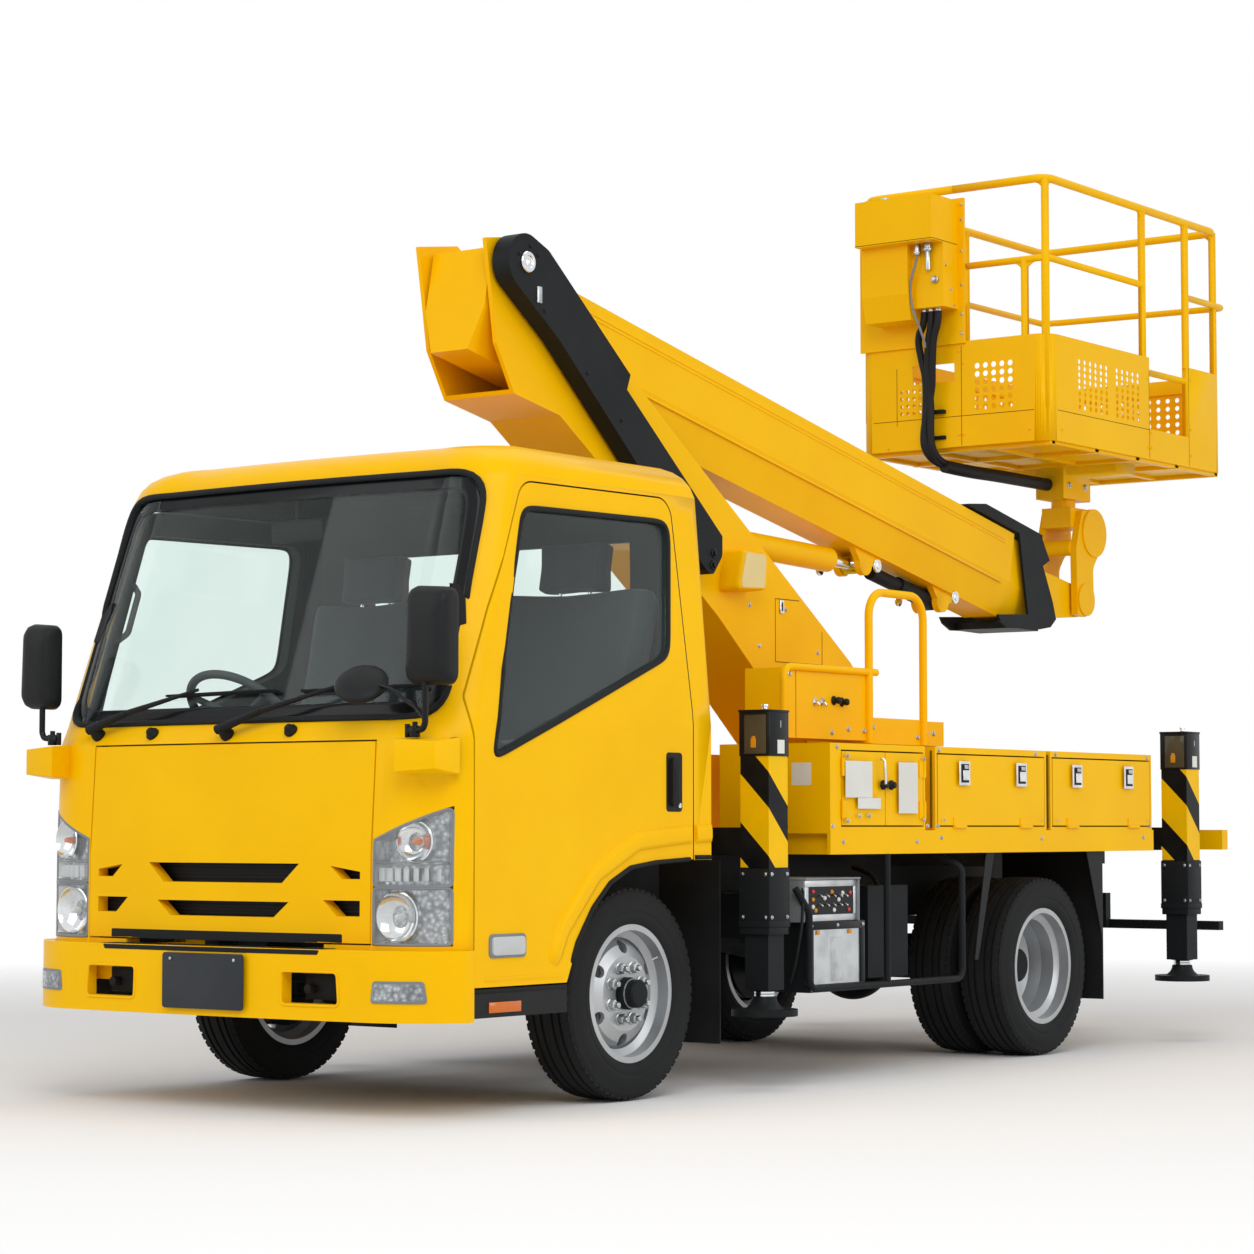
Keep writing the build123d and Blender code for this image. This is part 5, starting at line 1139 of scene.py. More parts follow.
class TRUCK_OT_cab_ears(bpy.types.Operator):
    """The cab shell with its two mirror ears tapered and bevelled, in place of the plain one"""
    bl_idname = "truck.cab_ears"
    bl_label = "Rounded mirror ears"

    def execute(self, context):
        source = frame["nodes"]["cab_shell"]
        bm = bmesh.new()
        bm.from_mesh(source.data)
        bmesh.ops.remove_doubles(bm, verts=bm.verts, dist=2e-5)
        low, high = at(690, -1045, 980), at(850, -890, 1110)
        ears = [vert for vert in bm.verts if low.x < abs(vert.co.x) < high.x and low.y < vert.co.y < high.y
                and low.z < vert.co.z < high.z]
        for vert in ears:
            outward = (abs(vert.co.x) - 0.7) / 0.138
            forward = (at(0, -955, 0).y - vert.co.y) / 0.08
            if forward > 0.9:
                vert.co.z = 1.045 + (vert.co.z - 1.045) * (0.9 - 0.16 * outward)
                vert.co.y += 0.022 * outward
        chosen = set(ears)
        edges = [edge for edge in bm.edges if edge.verts[0] in chosen and edge.verts[1] in chosen
                 and len(edge.link_faces) == 2 and edge.calc_face_angle(0) > math.radians(35) and edge.is_convex]
        bmesh.ops.bevel(bm, geom=edges, offset=0.02, segments=4, profile=0.5, affect="EDGES", clamp_overlap=True)
        shell = new_object("cab_shell_rounded", bm)
        dress(shell, "lined_cab_enamel", smooth_deg=30)
        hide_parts("cab_shell")
        return {"FINISHED"}


MIRRORS = (
    # name, middle x, half width, low z, high z, side
    ("left", 799, 80, 1244, 1534, 1), ("right", -803, 64, 1208, 1484, -1),
)


class TRUCK_OT_mirrors(bpy.types.Operator):
    """Moulded door mirrors, the round mirror under the screen, and their arms"""
    bl_idname = "truck.mirrors"
    bl_label = "Mirrors"

    def execute(self, context):
        for name, mid_x, half, low_z, high_z, side in MIRRORS:
            outline = [(mid_x - half - 3, low_z + 6), (mid_x + half, low_z), (mid_x + half, high_z - 10),
                (mid_x - half + 6, high_z)]
            spots = round_corners([Vector((x * MM, 0, z * MM)) for x, z in outline], 0.034, True)
            middle = Vector((mid_x * MM, 0, (low_z + high_z) / 2 * MM))
            bm = bmesh.new()
            rows = []
            for depth, share in ((-1030, 0.42), (-1026, 0.66), (-1018, 0.84), (-1004, 0.95), (-985, 1.0),
                    (-962, 1.0), (-956, 0.97), (-956, 0.9), (-961, 0.89)):
                rows.append([bm.verts.new(middle + (spot - middle) * share + Vector((0, AXLE_Y + depth * MM, 0)))
                    for spot in spots])
            skin(bm, rows)
            shell = shaped(f"mirror_shell_{name}", bm, "textured_abs", smooth_deg=50)
            if side == 1:
                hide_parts("mirrors")
            bm = bmesh.new()
            glass = [middle + (spot - middle) * 0.885 + Vector((0, AXLE_Y - 0.9605, 0)) for spot in spots]
            add_plate(bm, glass, (0, 0.002, 0))
            shaped(f"mirror_glass_{name}", bm, "hard_chrome")
            ear_z = 1098
            arm_x = side * 786
            pipe(f"mirror_arm_{name}", [(arm_x, -995, low_z + 14), (arm_x, -995, ear_z + 40),
                (arm_x - side * 8, -995, ear_z + 22), (arm_x - side * 48, -990, ear_z + 18)], 9.5,
                "gloss_enamel_black", "truck", "black_plastic", bend=22)
            rounds(f"mirror_clamp_{name}", [((side * 744, -990, ear_z - 1), (side * 744, -990, ear_z + 32), 15),
                ((side * 718, -990, ear_z + 18), (side * 748, -990, ear_z + 18), 13),
                ((side * 744, -990, ear_z + 30), (side * 744, -990, ear_z + 44), 8),
                ((side * 716, -990, ear_z - 1), (side * 716, -990, ear_z + 38), 8)], "gloss_enamel_black", "truck",
                "black_plastic")
        bm = bmesh.new()
        facing = Vector((0.3, -0.62, 0.72)).normalized()
        add_lathe(bm, at(548, -1000, 1258), facing, ((-0.018, 0.036), (-0.018, 0.07), (-0.012, 0.077),
            (-0.004, 0.08), (0.003, 0.076), (0.011, 0.06), (0.016, 0.036), (0.018, 0.014)), 40)
        shaped("under_mirror_shell", bm, "textured_abs", smooth_deg=60)
        pipe("under_mirror_arm", [(552, -988, 1256), (640, -992, 1250), (700, -985, 1206), (752, -985, 1180),
            (786, -992, 1140)], 6.5, "gloss_enamel_black", "truck", "black_plastic")
        for name, side in SIDES:
            def pillar(y, z):
                return on_side(y, z, side)
            wrap(f"pillar_vent_{name}", ((-806, 1425), (-790, 1432), (-764, 1552), (-778, 1556)), 3, pillar,
                "gasket_rubber", radius=5)
        return {"FINISHED"}


LAMP_X = (582, 812)
LAMP_LOW_Z, LAMP_TOP_Z, LAMP_SLANT = 500, 806, 96


class TRUCK_OT_headlamps(bpy.types.Operator):
    """Headlamps with bowls, bulbs and fluted lenses, in place of the plain blocks"""
    bl_idname = "truck.headlamps"
    bl_label = "Headlamps"

    def execute(self, context):
        low_x, high_x = LAMP_X
        split = 668
        lower = ((low_x + 3, LAMP_LOW_Z + 3), (high_x - 3, LAMP_LOW_Z + 3), (high_x - 3, split - 3),
            (low_x + 3, split - 3))
        upper = ((low_x + 3, split + 3), (high_x - 3, split + 3), (high_x - 3, LAMP_TOP_Z + LAMP_SLANT - 5),
            (low_x + 3, LAMP_TOP_Z - 3))
        for name, side in SIDES:
            def place(x, z):
                return on_front(side * x, z)

            def back(x, z):
                spot, normal = on_front(side * x, z)
                return spot - normal * 0.036, normal
            for label, outline in (("lower", lower), ("upper", upper)):
                shell = wrap(f"headlamp_bowl_{label}_{name}", outline, 1.5, back, "metallised_bowl", radius=10,
                    spacing=16, sink=4)
                if label == "lower":
                    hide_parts("lamps")
                path = [place(x, z) for x, z in outline_points(outline, 12, 14)]
                seal(f"headlamp_rim_{label}_{name}", smooth_path(path, 1), 9, 4, "grey_trim_enamel")
                bm = bmesh.new()
                rim = [(place(x, z), back(x, z)) for x, z in outline_points(outline, 12, 14)]
                front = [bm.verts.new(near[0] - near[1] * 0.001) for near, _ in rim]
                rear = [bm.verts.new(far[0] - far[1] * 0.004) for _, far in rim]
                inner = [bm.verts.new(near[0] - near[1] * 0.001 + (middle_of(rim) - near[0]) * 0.02)
                    for near, _ in rim]
                inner_rear = [bm.verts.new(far[0] - far[1] * 0.004 + (middle_of(rim) - far[0]) * 0.02)
                    for _, far in rim]
                for index in range(len(rim)):
                    other = (index + 1) % len(rim)
                    bm.faces.new((front[index], front[other], rear[other], rear[index]))
                    bm.faces.new((inner[index], inner_rear[index], inner_rear[other], inner[other]))
                    bm.faces.new((front[index], inner[index], inner[other], front[other]))
                    bm.faces.new((rear[index], rear[other], inner_rear[other], inner_rear[index]))
                shaped(f"headlamp_side_{label}_{name}", bm, "aluminium_sheet", "truck", "lamp_lens")
                wrap(f"headlamp_lens_{label}_{name}", outline, 1.8, place, "fluted_lens", radius=12, spacing=16,
                    sink=1.2, crown=2)
            for label, x, z, radius in (("dip", 664, 583, 70), ("turn", 716, 800, 56)):
                spot, normal = on_front(side * x, z)
                facing = (normal + Vector((0, -1.2, 0))).normalized()
                centre = spot - facing * 0.012
                bm = bmesh.new()
                add_lathe(bm, centre, facing, metres(((4, radius + 4), (6, radius), (-4, radius * 0.9),
                    (-14, radius * 0.72), (-22, radius * 0.5), (-27, radius * 0.24), (-32, radius * 0.24),
                    (-26, radius * 0.6), (-12, radius * 0.86))), 48, closed=True)
                shaped(f"lamp_bowl_{label}_{name}", bm, "hard_chrome", smooth_deg=60)
                turned(f"lamp_bulb_{label}_{name}", centre, facing,
                    ((-26, 11), (-10, 11), (-8, 9), (2, 8.5), (8, 6), (10, 2)), 20,
                    "amber_lens" if label == "turn" else "side_lens", smooth_deg=60)
            bm = bmesh.new()
            for step in range(7):
                x = 600 + step * 30
                spot, normal = on_front(side * x, 704)
                centre = spot - normal * 0.014
                across = Vector((side * 0.009, normal.x * -0.003, 0))
                low, high = centre - across * 1.2 - Vector((0, 0, 0.02)), centre + across * 1.2 + Vector((0, 0,
                    0.02))
                add_plate(bm, [low, centre + across * 1.2 - Vector((0, 0, 0.02)), high,
                    centre - across * 1.2 + Vector((0, 0, 0.02))], -normal * 0.01)
            shaped(f"lamp_band_{name}", bm, "side_lens", bevel=0.003)
            band = [place(x, z) for x, z in outline_points(((low_x + 6, 738), (high_x - 6, 742), (high_x - 6, 734),
                (low_x + 6, 730)), 2, 14)]
            seal(f"lamp_band_edge_{name}", band, 3, 3, "grey_trim_enamel")
        return {"FINISHED"}


def middle_of(rim):
    """The middle of a rim's front points."""
    total = Vector((0, 0, 0))
    for near, _ in rim:
        total += near[0]
    return total / len(rim)


class TRUCK_OT_front_fittings(bpy.types.Operator):
    """Fog lamps, the blank number plate and the frames of the bumper openings"""
    bl_idname = "truck.front_fittings"
    bl_label = "Bumper fittings"

    def execute(self, context):
        for name, side in SIDES:
            def place(x, z):
                return on_front(side * x, z, BUMPER)
            outline = ((628, 338), (786, 338), (778, 402), (636, 402))
            wrap(f"fog_lamp_frame_{name}", outline, 3, place, "grey_trim_enamel", radius=12, spacing=14)
            wrap(f"fog_lamp_bowl_{name}", ((638, 346), (776, 346), (770, 394), (644, 394)), 4.5, place,
                "metallised_bowl", radius=8, spacing=14)
            wrap(f"fog_lamp_lens_{name}", ((636, 344), (778, 344), (772, 396), (642, 396)), 9, place, "fluted_lens",
                radius=10, spacing=14, crown=3)
            path = [place(x, z) for x, z in outline_points(((300, 326), (516, 326), (508, 424), (296, 424)), 18,
                16)]
            seal(f"tow_opening_edge_{name}", path, 9, 4, "machinery_enamel_yellow")
        # The dark lower air intake between the lid and the bumper, as painted shade: black rubber sheets on the
        # lid's lower edge, along the bumper's top edge and over the yellow bumper top
        wrap("lower_intake", ((-476, 503), (476, 503), (476, 531), (-476, 531)), 0.8, on_front, "gasket_rubber",
            "front_lid", radius=6, spacing=24)

        def on_bumper(x, z):
            return on_front(x, z, BUMPER)
        # Black sheet over the yellow bumper top: painted shade in the intake's mouth
        boxes("lower_intake_floor", [((-448, 448), (-1056, -990), (487.5, 489.5))], "gasket_rubber", bevel=0)
        wrap("lower_intake_sill", ((-438, 472), (438, 472), (446, 486), (-446, 486)), 0.8, on_bumper,
            "gasket_rubber", radius=4, spacing=24)
        front = min(on_front(0, 400, BUMPER)[0].y, on_front(150, 400, BUMPER)[0].y)
        plate_y = (front - AXLE_Y) / MM - 14
        bm = bmesh.new()
        outline = round_corners([Vector(at(x, plate_y, z))
            for x, z in ((-165, 303), (165, 303), (165, 468), (-165, 468))], 0.012, True)
        add_plate(bm, outline, (0, 0.004, 0))
        shaped("blank_number_plate", bm, "plate_enamel", bevel=0.0012)
        rounds("plate_screws", [((x, plate_y - 4, z), (x, plate_y + 14, z), 5) for x in (-130, 130)
            for z in (450,)], "zinc_plate", sides=12)
        boxes("plate_bracket", [((-120, -90), (plate_y + 3, plate_y + 16), (330, 450)),
            ((90, 120), (plate_y + 3, plate_y + 16), (330, 450))], "chassis_enamel_black")
        bm = bmesh.new()
        for side in (1, -1):
            add_box(bm, at(side * 400 - 60, -1002, 340), at(side * 400 + 60, -990, 415))
            add_round(bm, at(side * 400 - 28, -1030, 372), at(side * 400 - 28, -990, 372), 0.014, 16)
        shaped("tow_eye_backs", bm, "chassis_enamel_black", bevel=0.002)
        return {"FINISHED"}


SEATS = (
    # name, middle x, width
    ("driver", -420, 500), ("passenger", 430, 660),
)


def cushion(name, middle, size, tilt_deg, crown):
    """A crowned closed pad with pulled-in sides and two sewn channels."""
    bm = bmesh.new()
    bmesh.ops.create_cube(bm, size=1.0)
    bmesh.ops.subdivide_edges(bm, edges=bm.edges, cuts=9, use_grid_fill=True)
    turn = Vector((math.cos(math.radians(tilt_deg)), math.sin(math.radians(tilt_deg))))
    for vert in bm.verts:
        u, v, w = vert.co * 2
        pull = 1 - 0.06 * (1 - abs(u)) * abs(v) - 0.05 * (1 - abs(v)) * abs(u) - 0.06 * abs(w) * max(abs(u),
            abs(v)) ** 4
        channel = 0.1 * sum(math.exp(-((u - line) / 0.07) ** 2) for line in (-0.42, 0.42))
        thick = w * (1 + crown * (1 - u * u) * (1 - v * v) - channel * (w > 0))
        x, y, z = u * size[0] / 2 * pull, v * size[1] / 2 * pull, thick * size[2] / 2
        vert.co = middle + Vector((x, y * turn.x - z * turn.y, y * turn.y + z * turn.x)) * MM
    piece = new_object(name, bm)
    smooth = piece.modifiers.new("soft", "SUBSURF")
    smooth.levels = 1
    smooth.render_levels = 1
    piece = settle(piece)
    dress(piece, "seat_cloth", smooth_deg=180)
    return piece


class TRUCK_OT_seats(bpy.types.Operator):
    """Padded seats with sewn channels and head rests, in place of the plain ones"""
    bl_idname = "truck.seats"
    bl_label = "Seats"

    def execute(self, context):
        low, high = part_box("seats")
        back_y = (high[1] - AXLE_Y) / MM
        front_y = (low[1] - AXLE_Y) / MM
        base_z = low[2] / MM
        top_z = high[2] / MM
        for index, (name, mid_x, width) in enumerate(SEATS):
            base = cushion(f"seat_cushion_{name}", at(mid_x, front_y + 205, base_z + 240), (width - 20, 400, 170),
                3, 0.14)
            cushion(f"seat_back_{name}", at(mid_x, back_y - 135, base_z + 545), (width - 30, 560, 125), 76, 0.16)
            cushion(f"head_rest_{name}", at(mid_x, back_y - 72, top_z - 88), (250, 160, 85), 84, 0.2)
            rounds(f"head_rest_posts_{name}", [((mid_x + shift, back_y - 80, top_z - 210),
                (mid_x + shift, back_y - 74, top_z - 130), 6) for shift in (-60, 60)], "hard_chrome")
            outer = sorted((math.copysign(320, mid_x), math.copysign(640, mid_x)))
            boxes(f"seat_box_{name}", [(outer, (front_y + 20, front_y + 400), (base_z, base_z + 160))],
                "cab_lining", bevel=0.01)
            if index == 0:
                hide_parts("seats")
        boxes("interior_mirror", [((-150, 70), (-640, -618), (1724, 1796))], "textured_abs", bevel=0.026)
        pipe("grab_handle", [(-756, -704, 1436), (-716, -694, 1462), (-710, -654, 1592), (-744, -640, 1618)], 10,
            "cab_lining", bend=24)
        boxes("interior_mirror_stem", [((-48, -36), (-636, -600), (1786, 1900))], "textured_abs", bevel=0.003)
        return {"FINISHED"}


# Boom and column, with the faces that look left
COLUMN_FACE_X = 150
STATION_FACE_X = 455


def side_frame():
    """The boom's own directions at rest, read from its joint."""
    axis = Vector(JOINTS["boom_extend"]["axis"])
    return axis.normalized()


class TRUCK_OT_boom_trim(bpy.types.Operator):
    """Crease lines and pin caps of the boom"""
    bl_idname = "truck.boom_trim"
    bl_label = "Boom trim"

    def execute(self, context):
        along = side_frame()
        pivot = Vector(JOINTS["boom_lift"]["pos_m"])
        drop = Vector((0, -along.z, along.y))
        face_x = 0.125

        def spot(s, v, x):
            return pivot + along * s * MM + drop * v * MM + Vector((x, 0, 0))

        for name, side in SIDES:
            bm = bmesh.new()
            for v, thick in ((2, 2.6), (-12, 2.0), (-178, 4.5)):
                start, end = spot(60, v, side * face_x), spot(3380, v, side * face_x)
                low = [start - drop * thick * MM, end - drop * thick * MM, end + drop * thick * MM,
                    start + drop * thick * MM]
                add_plate(bm, [point - Vector((side * 0.002, 0, 0)) for point in low],
                    Vector((side * 0.0048, 0, 0)))
            shaped(f"boom_creases_{name}", bm, "machinery_enamel_yellow", "boom_outer", bevel=0.0015)
            bm = bmesh.new()
            for y, z in ((2480, 1848), (3064, 1760)):
                add_lathe(bm, at(side * 129, y, z), (side, 0, 0),
                    metres(((0, 26), (6, 26), (8, 24), (9, 14), (12, 13), (13, 9))), 32)
            shaped(f"boom_pin_caps_{name}", bm, "hard_chrome", "boom_outer", bevel=0.0008)
        return {"FINISHED"}


class TRUCK_OT_column_trim(bpy.types.Operator):
    """Pins, hatch, lamp box, levers and bolts of the slewing column, its hose cover and its control station"""
    bl_idname = "truck.column_trim"
    bl_label = "Column trim"

    def execute(self, context):
        low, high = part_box("hose_cover")
        outer = high[0] / MM
        pivot = Vector(JOINTS["boom_lift"]["pos_m"])
        y0, z0 = (pivot.y - AXLE_Y) / MM, pivot.z / MM
        turned("hinge_pin_cap", at(outer - 1, y0, z0), (1, 0, 0),
            ((0, 36), (8, 36), (11, 33), (12, 22), (7, 20), (7, 11), (14, 10), (15, 6)), 36, "hard_chrome",
            "column", bevel=0.0008)
        boxes("hose_cover_link", [((outer - 1, outer + 6), (y0 + 50, y0 + 76), (z0 - 128, z0 - 72))], "zinc_plate",
            "column", bevel=0.003)
        spots = [((outer, y0 + dy, z0 + dz), (1, 0, 0))
            for dy, dz in ((-38, 22), (60, 30), (96, -150), (140, -216), (330, -330), (520, -470), (705, -640),
            (20, 55), (880, -760))]
        spots = [row for row in spots if hits_side("hose_cover", row[0][1], row[0][2])]
        bolts("hose_cover_screws", spots, "gloss_enamel_black", "column", size=0.7)
        bolts("hose_cover_end_bolts", on_left(outer, ((1237, 1806), (1232, 1764))), "gloss_enamel_black", "column",
            size=1.5)
        # Hatch in the side plate: its shut line, latch and screws
        face = COLUMN_FACE_X
        seams = [((face, face + 0.8), (1745, 1748), (1446, 1679)), ((face, face + 0.8), (1745, 1905), (1677, 1680)),
            ((face, face + 0.8), (1748, 2060), (1445, 1448)), ((face, face + 0.8), (2058, 2061), (1446, 1570))]
        shut_lines("column_hatch_lines", seams, "column")
        boxes("column_hatch_latch", [((face, face + 7), (1771, 1797), (1624, 1676))], "hard_chrome", "column",
            bevel=0.006)
        boxes("column_hatch_latch_slot", [((face + 7, face + 7.8), (1780, 1788), (1634, 1666))], "textured_abs",
            "column", bevel=0)
        bolts("column_bolts", on_left(face, ((1578, 1646), (2029, 1491), (1815, 1642), (1640, 1500), (1290, 1890),
            (1000, 2060), (760, 2200))), "zinc_plate", "column", size=0.8)
        # Work lamp box on the side plate, with its faded cover
        rim = [at(face, y, z) for y, z in ((1378, 1682), (1560, 1690), (1572, 1832), (1420, 1836))]
        rim = round_corners(rim, 0.022, True)
        middle = sum(rim, Vector()) / len(rim)
        bm = bmesh.new()
        rows = [[bm.verts.new(middle + (spot - middle) * share + Vector((depth * MM, 0, 0))) for spot in rim]
            for depth, share in ((-2, 1.0), (66, 0.98), (80, 0.95), (88, 0.88))]
        skin(bm, rows)
        shaped("work_lamp_box", bm, "machinery_enamel_yellow", "column", smooth_deg=50)
        cover = [middle + (spot - middle) * 0.84 + Vector((0.0885, 0, 0)) for spot in rim]
        bm = bmesh.new()
        add_plate(bm, cover, (0.0012, 0, 0))
        shaped("work_lamp_cover", bm, "faded_decal", "column")
        # Levers and bolts of the control station
        levers = [((STATION_FACE_X, y, z), (476, y, z - 14), 6.5) for y, z in ((1543, 1287), (1590, 1287))]
        rounds("station_levers_bright", levers, "hard_chrome", "column", sides=14)
        bm = bmesh.new()
        for y, z in ((1665, 1294), (1718, 1290)):
            add_lathe(bm, at(454, y, z), (1, 0, 0), metres(((0, 17), (4, 17), (8, 12), (14, 10), (20, 13), (28, 12),
                (31, 8))), 24)
        shaped("station_knobs", bm, "textured_abs", "column", smooth_deg=50)
        bm = bmesh.new()
        for y, z in ((1543, 1287), (1590, 1287)):
            add_lathe(bm, at(454.5, y, z), (1, 0, 0), metres(((0, 15), (2.5, 15), (3.2, 13))), 24)
        shaped("station_bezels", bm, "zinc_plate", "column")
        bolts("station_bolts", on_left(STATION_FACE_X,
            ((1652, 1180), (1760, 1194), (1866, 1190), (1905, 1180), (1929, 1206), (2302, 1191), (2354, 1192),
            (1350, 1180), (1380, 1380), (2240, 1175))), "zinc_plate", "column", size=0.95)
        shut_lines("station_seam", [((STATION_FACE_X, STATION_FACE_X + 0.7), (1418, 1421), (1157, 1396)),
            ((STATION_FACE_X, STATION_FACE_X + 0.7), (1425, 1895), (1392, 1395))], "column")
        return {"FINISHED"}


def hits_side(node, y, z):
    """Whether a node's left face is met at y and z, in millimetres."""
    tree = surface_of(node)
    return tree.ray_cast(at(3000, y, z), Vector((-1, 0, 0)))[0] is not None


# Basket
def hole_grid(bm, face, rows, radius):
    """Round cutters through a basket wall: face is the axis letter and the span that they cross."""
    axis, low, high = face
    for a, z in rows:
        if axis == "x":
            add_round(bm, at(low, a, z), at(high, a, z), radius * MM, 14)
        else:
            add_round(bm, at(a, low, z), at(a, high, z), radius * MM, 14)


def carved(piece, cutter):
    """The piece with the cutter's volume taken out of it."""
    cut = piece.modifiers.new("cut", "BOOLEAN")
    cut.operation = "DIFFERENCE"
    cut.solver = "EXACT"
    cut.object = cutter
    piece = settle(piece)
    bpy.data.objects.remove(cutter)
    return piece


class TRUCK_OT_basket(bpy.types.Operator):
    """The work basket with its perforated panels, in place of the plain one"""
    bl_idname = "truck.basket"
    bl_label = "Perforated basket"

    def execute(self, context):
        source = frame["nodes"]["basket"]
        bm = bmesh.new()
        bm.from_mesh(source.data)
        bmesh.ops.remove_doubles(bm, verts=bm.verts, dist=2e-5)
        shell = new_object("perforated_basket", bm)
        # The panels are thin sheet, so each one is hollowed from the inside before its holes are cut
        pockets = bmesh.new()
        for low, high in (((436, 3512, 2530), (447.5, 4082, 2766)), ((-447.5, 3512, 2530), (-436, 4620, 2766)),
                ((-352, 4834, 2530), (352, 4847.5, 2766)), ((98, 3282.5, 2530), (290, 3296, 2746)),
                ((-262, 3282.5, 2530), (-138, 3296, 2660))):
            add_box(pockets, at(*low), at(*high))
        shell = carved(shell, new_object("basket_pockets", pockets))
        cutter = bmesh.new()
        near = [(3534 + column * 46.5, 2740 - row * 26.8) for row in range(8)
            for column in range(12) if column != 6]
        hole_grid(cutter, ("x", 425, 462), near, 10.5)
        front = [(116 + column * 38.5, 2722 - row * 34) for row in range(6) for column in range(5)]
        hole_grid(cutter, ("y", 3268, 3304), front, 12)
        low_front = [(-245 + column * 30, 2640 - row * 30) for row in range(4) for column in range(4)]
        hole_grid(cutter, ("y", 3268, 3304), low_front, 8)
        rear = [(-330 + column * 46.5, 2740 - row * 36) for row in range(6) for column in range(15)]
        hole_grid(cutter, ("y", 4826, 4862), rear, 10.5)
        far = [(3534 + column * 46.5, 2740 - row * 36) for row in range(6) for column in range(24)]
        hole_grid(cutter, ("x", -462, -425), far, 10.5)
        add_box(cutter, at(-192, 3268, 2668), at(9, 3304, 2744))
        shell = carved(shell, new_object("basket_holes", cutter))
        dress(shell, "machinery_enamel_yellow", "basket", smooth_deg=30)
        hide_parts("basket")
        return {"FINISHED"}


RAIL_Z = 3466
POST_ROWS = (
    # x, y, the direction of its gussets along the rail, height of the rail
    (420, 3310, ((0, 1), (-1, 0)), RAIL_Z), (430, 4128, ((0, 1), (0, -1)), RAIL_Z),
    (430, 4530, ((0, 1), (0, -1)), RAIL_Z),
    (420, 4820, ((0, -1), (-1, 0)), RAIL_Z), (-420, 4820, ((0, -1), (1, 0)), RAIL_Z),
    (-420, 3310, ((0, 1),), RAIL_Z),
    (-430, 4128, ((0, 1), (0, -1)), RAIL_Z), (330, 3300, ((-1, 0), (1, 0)), 3140),
)


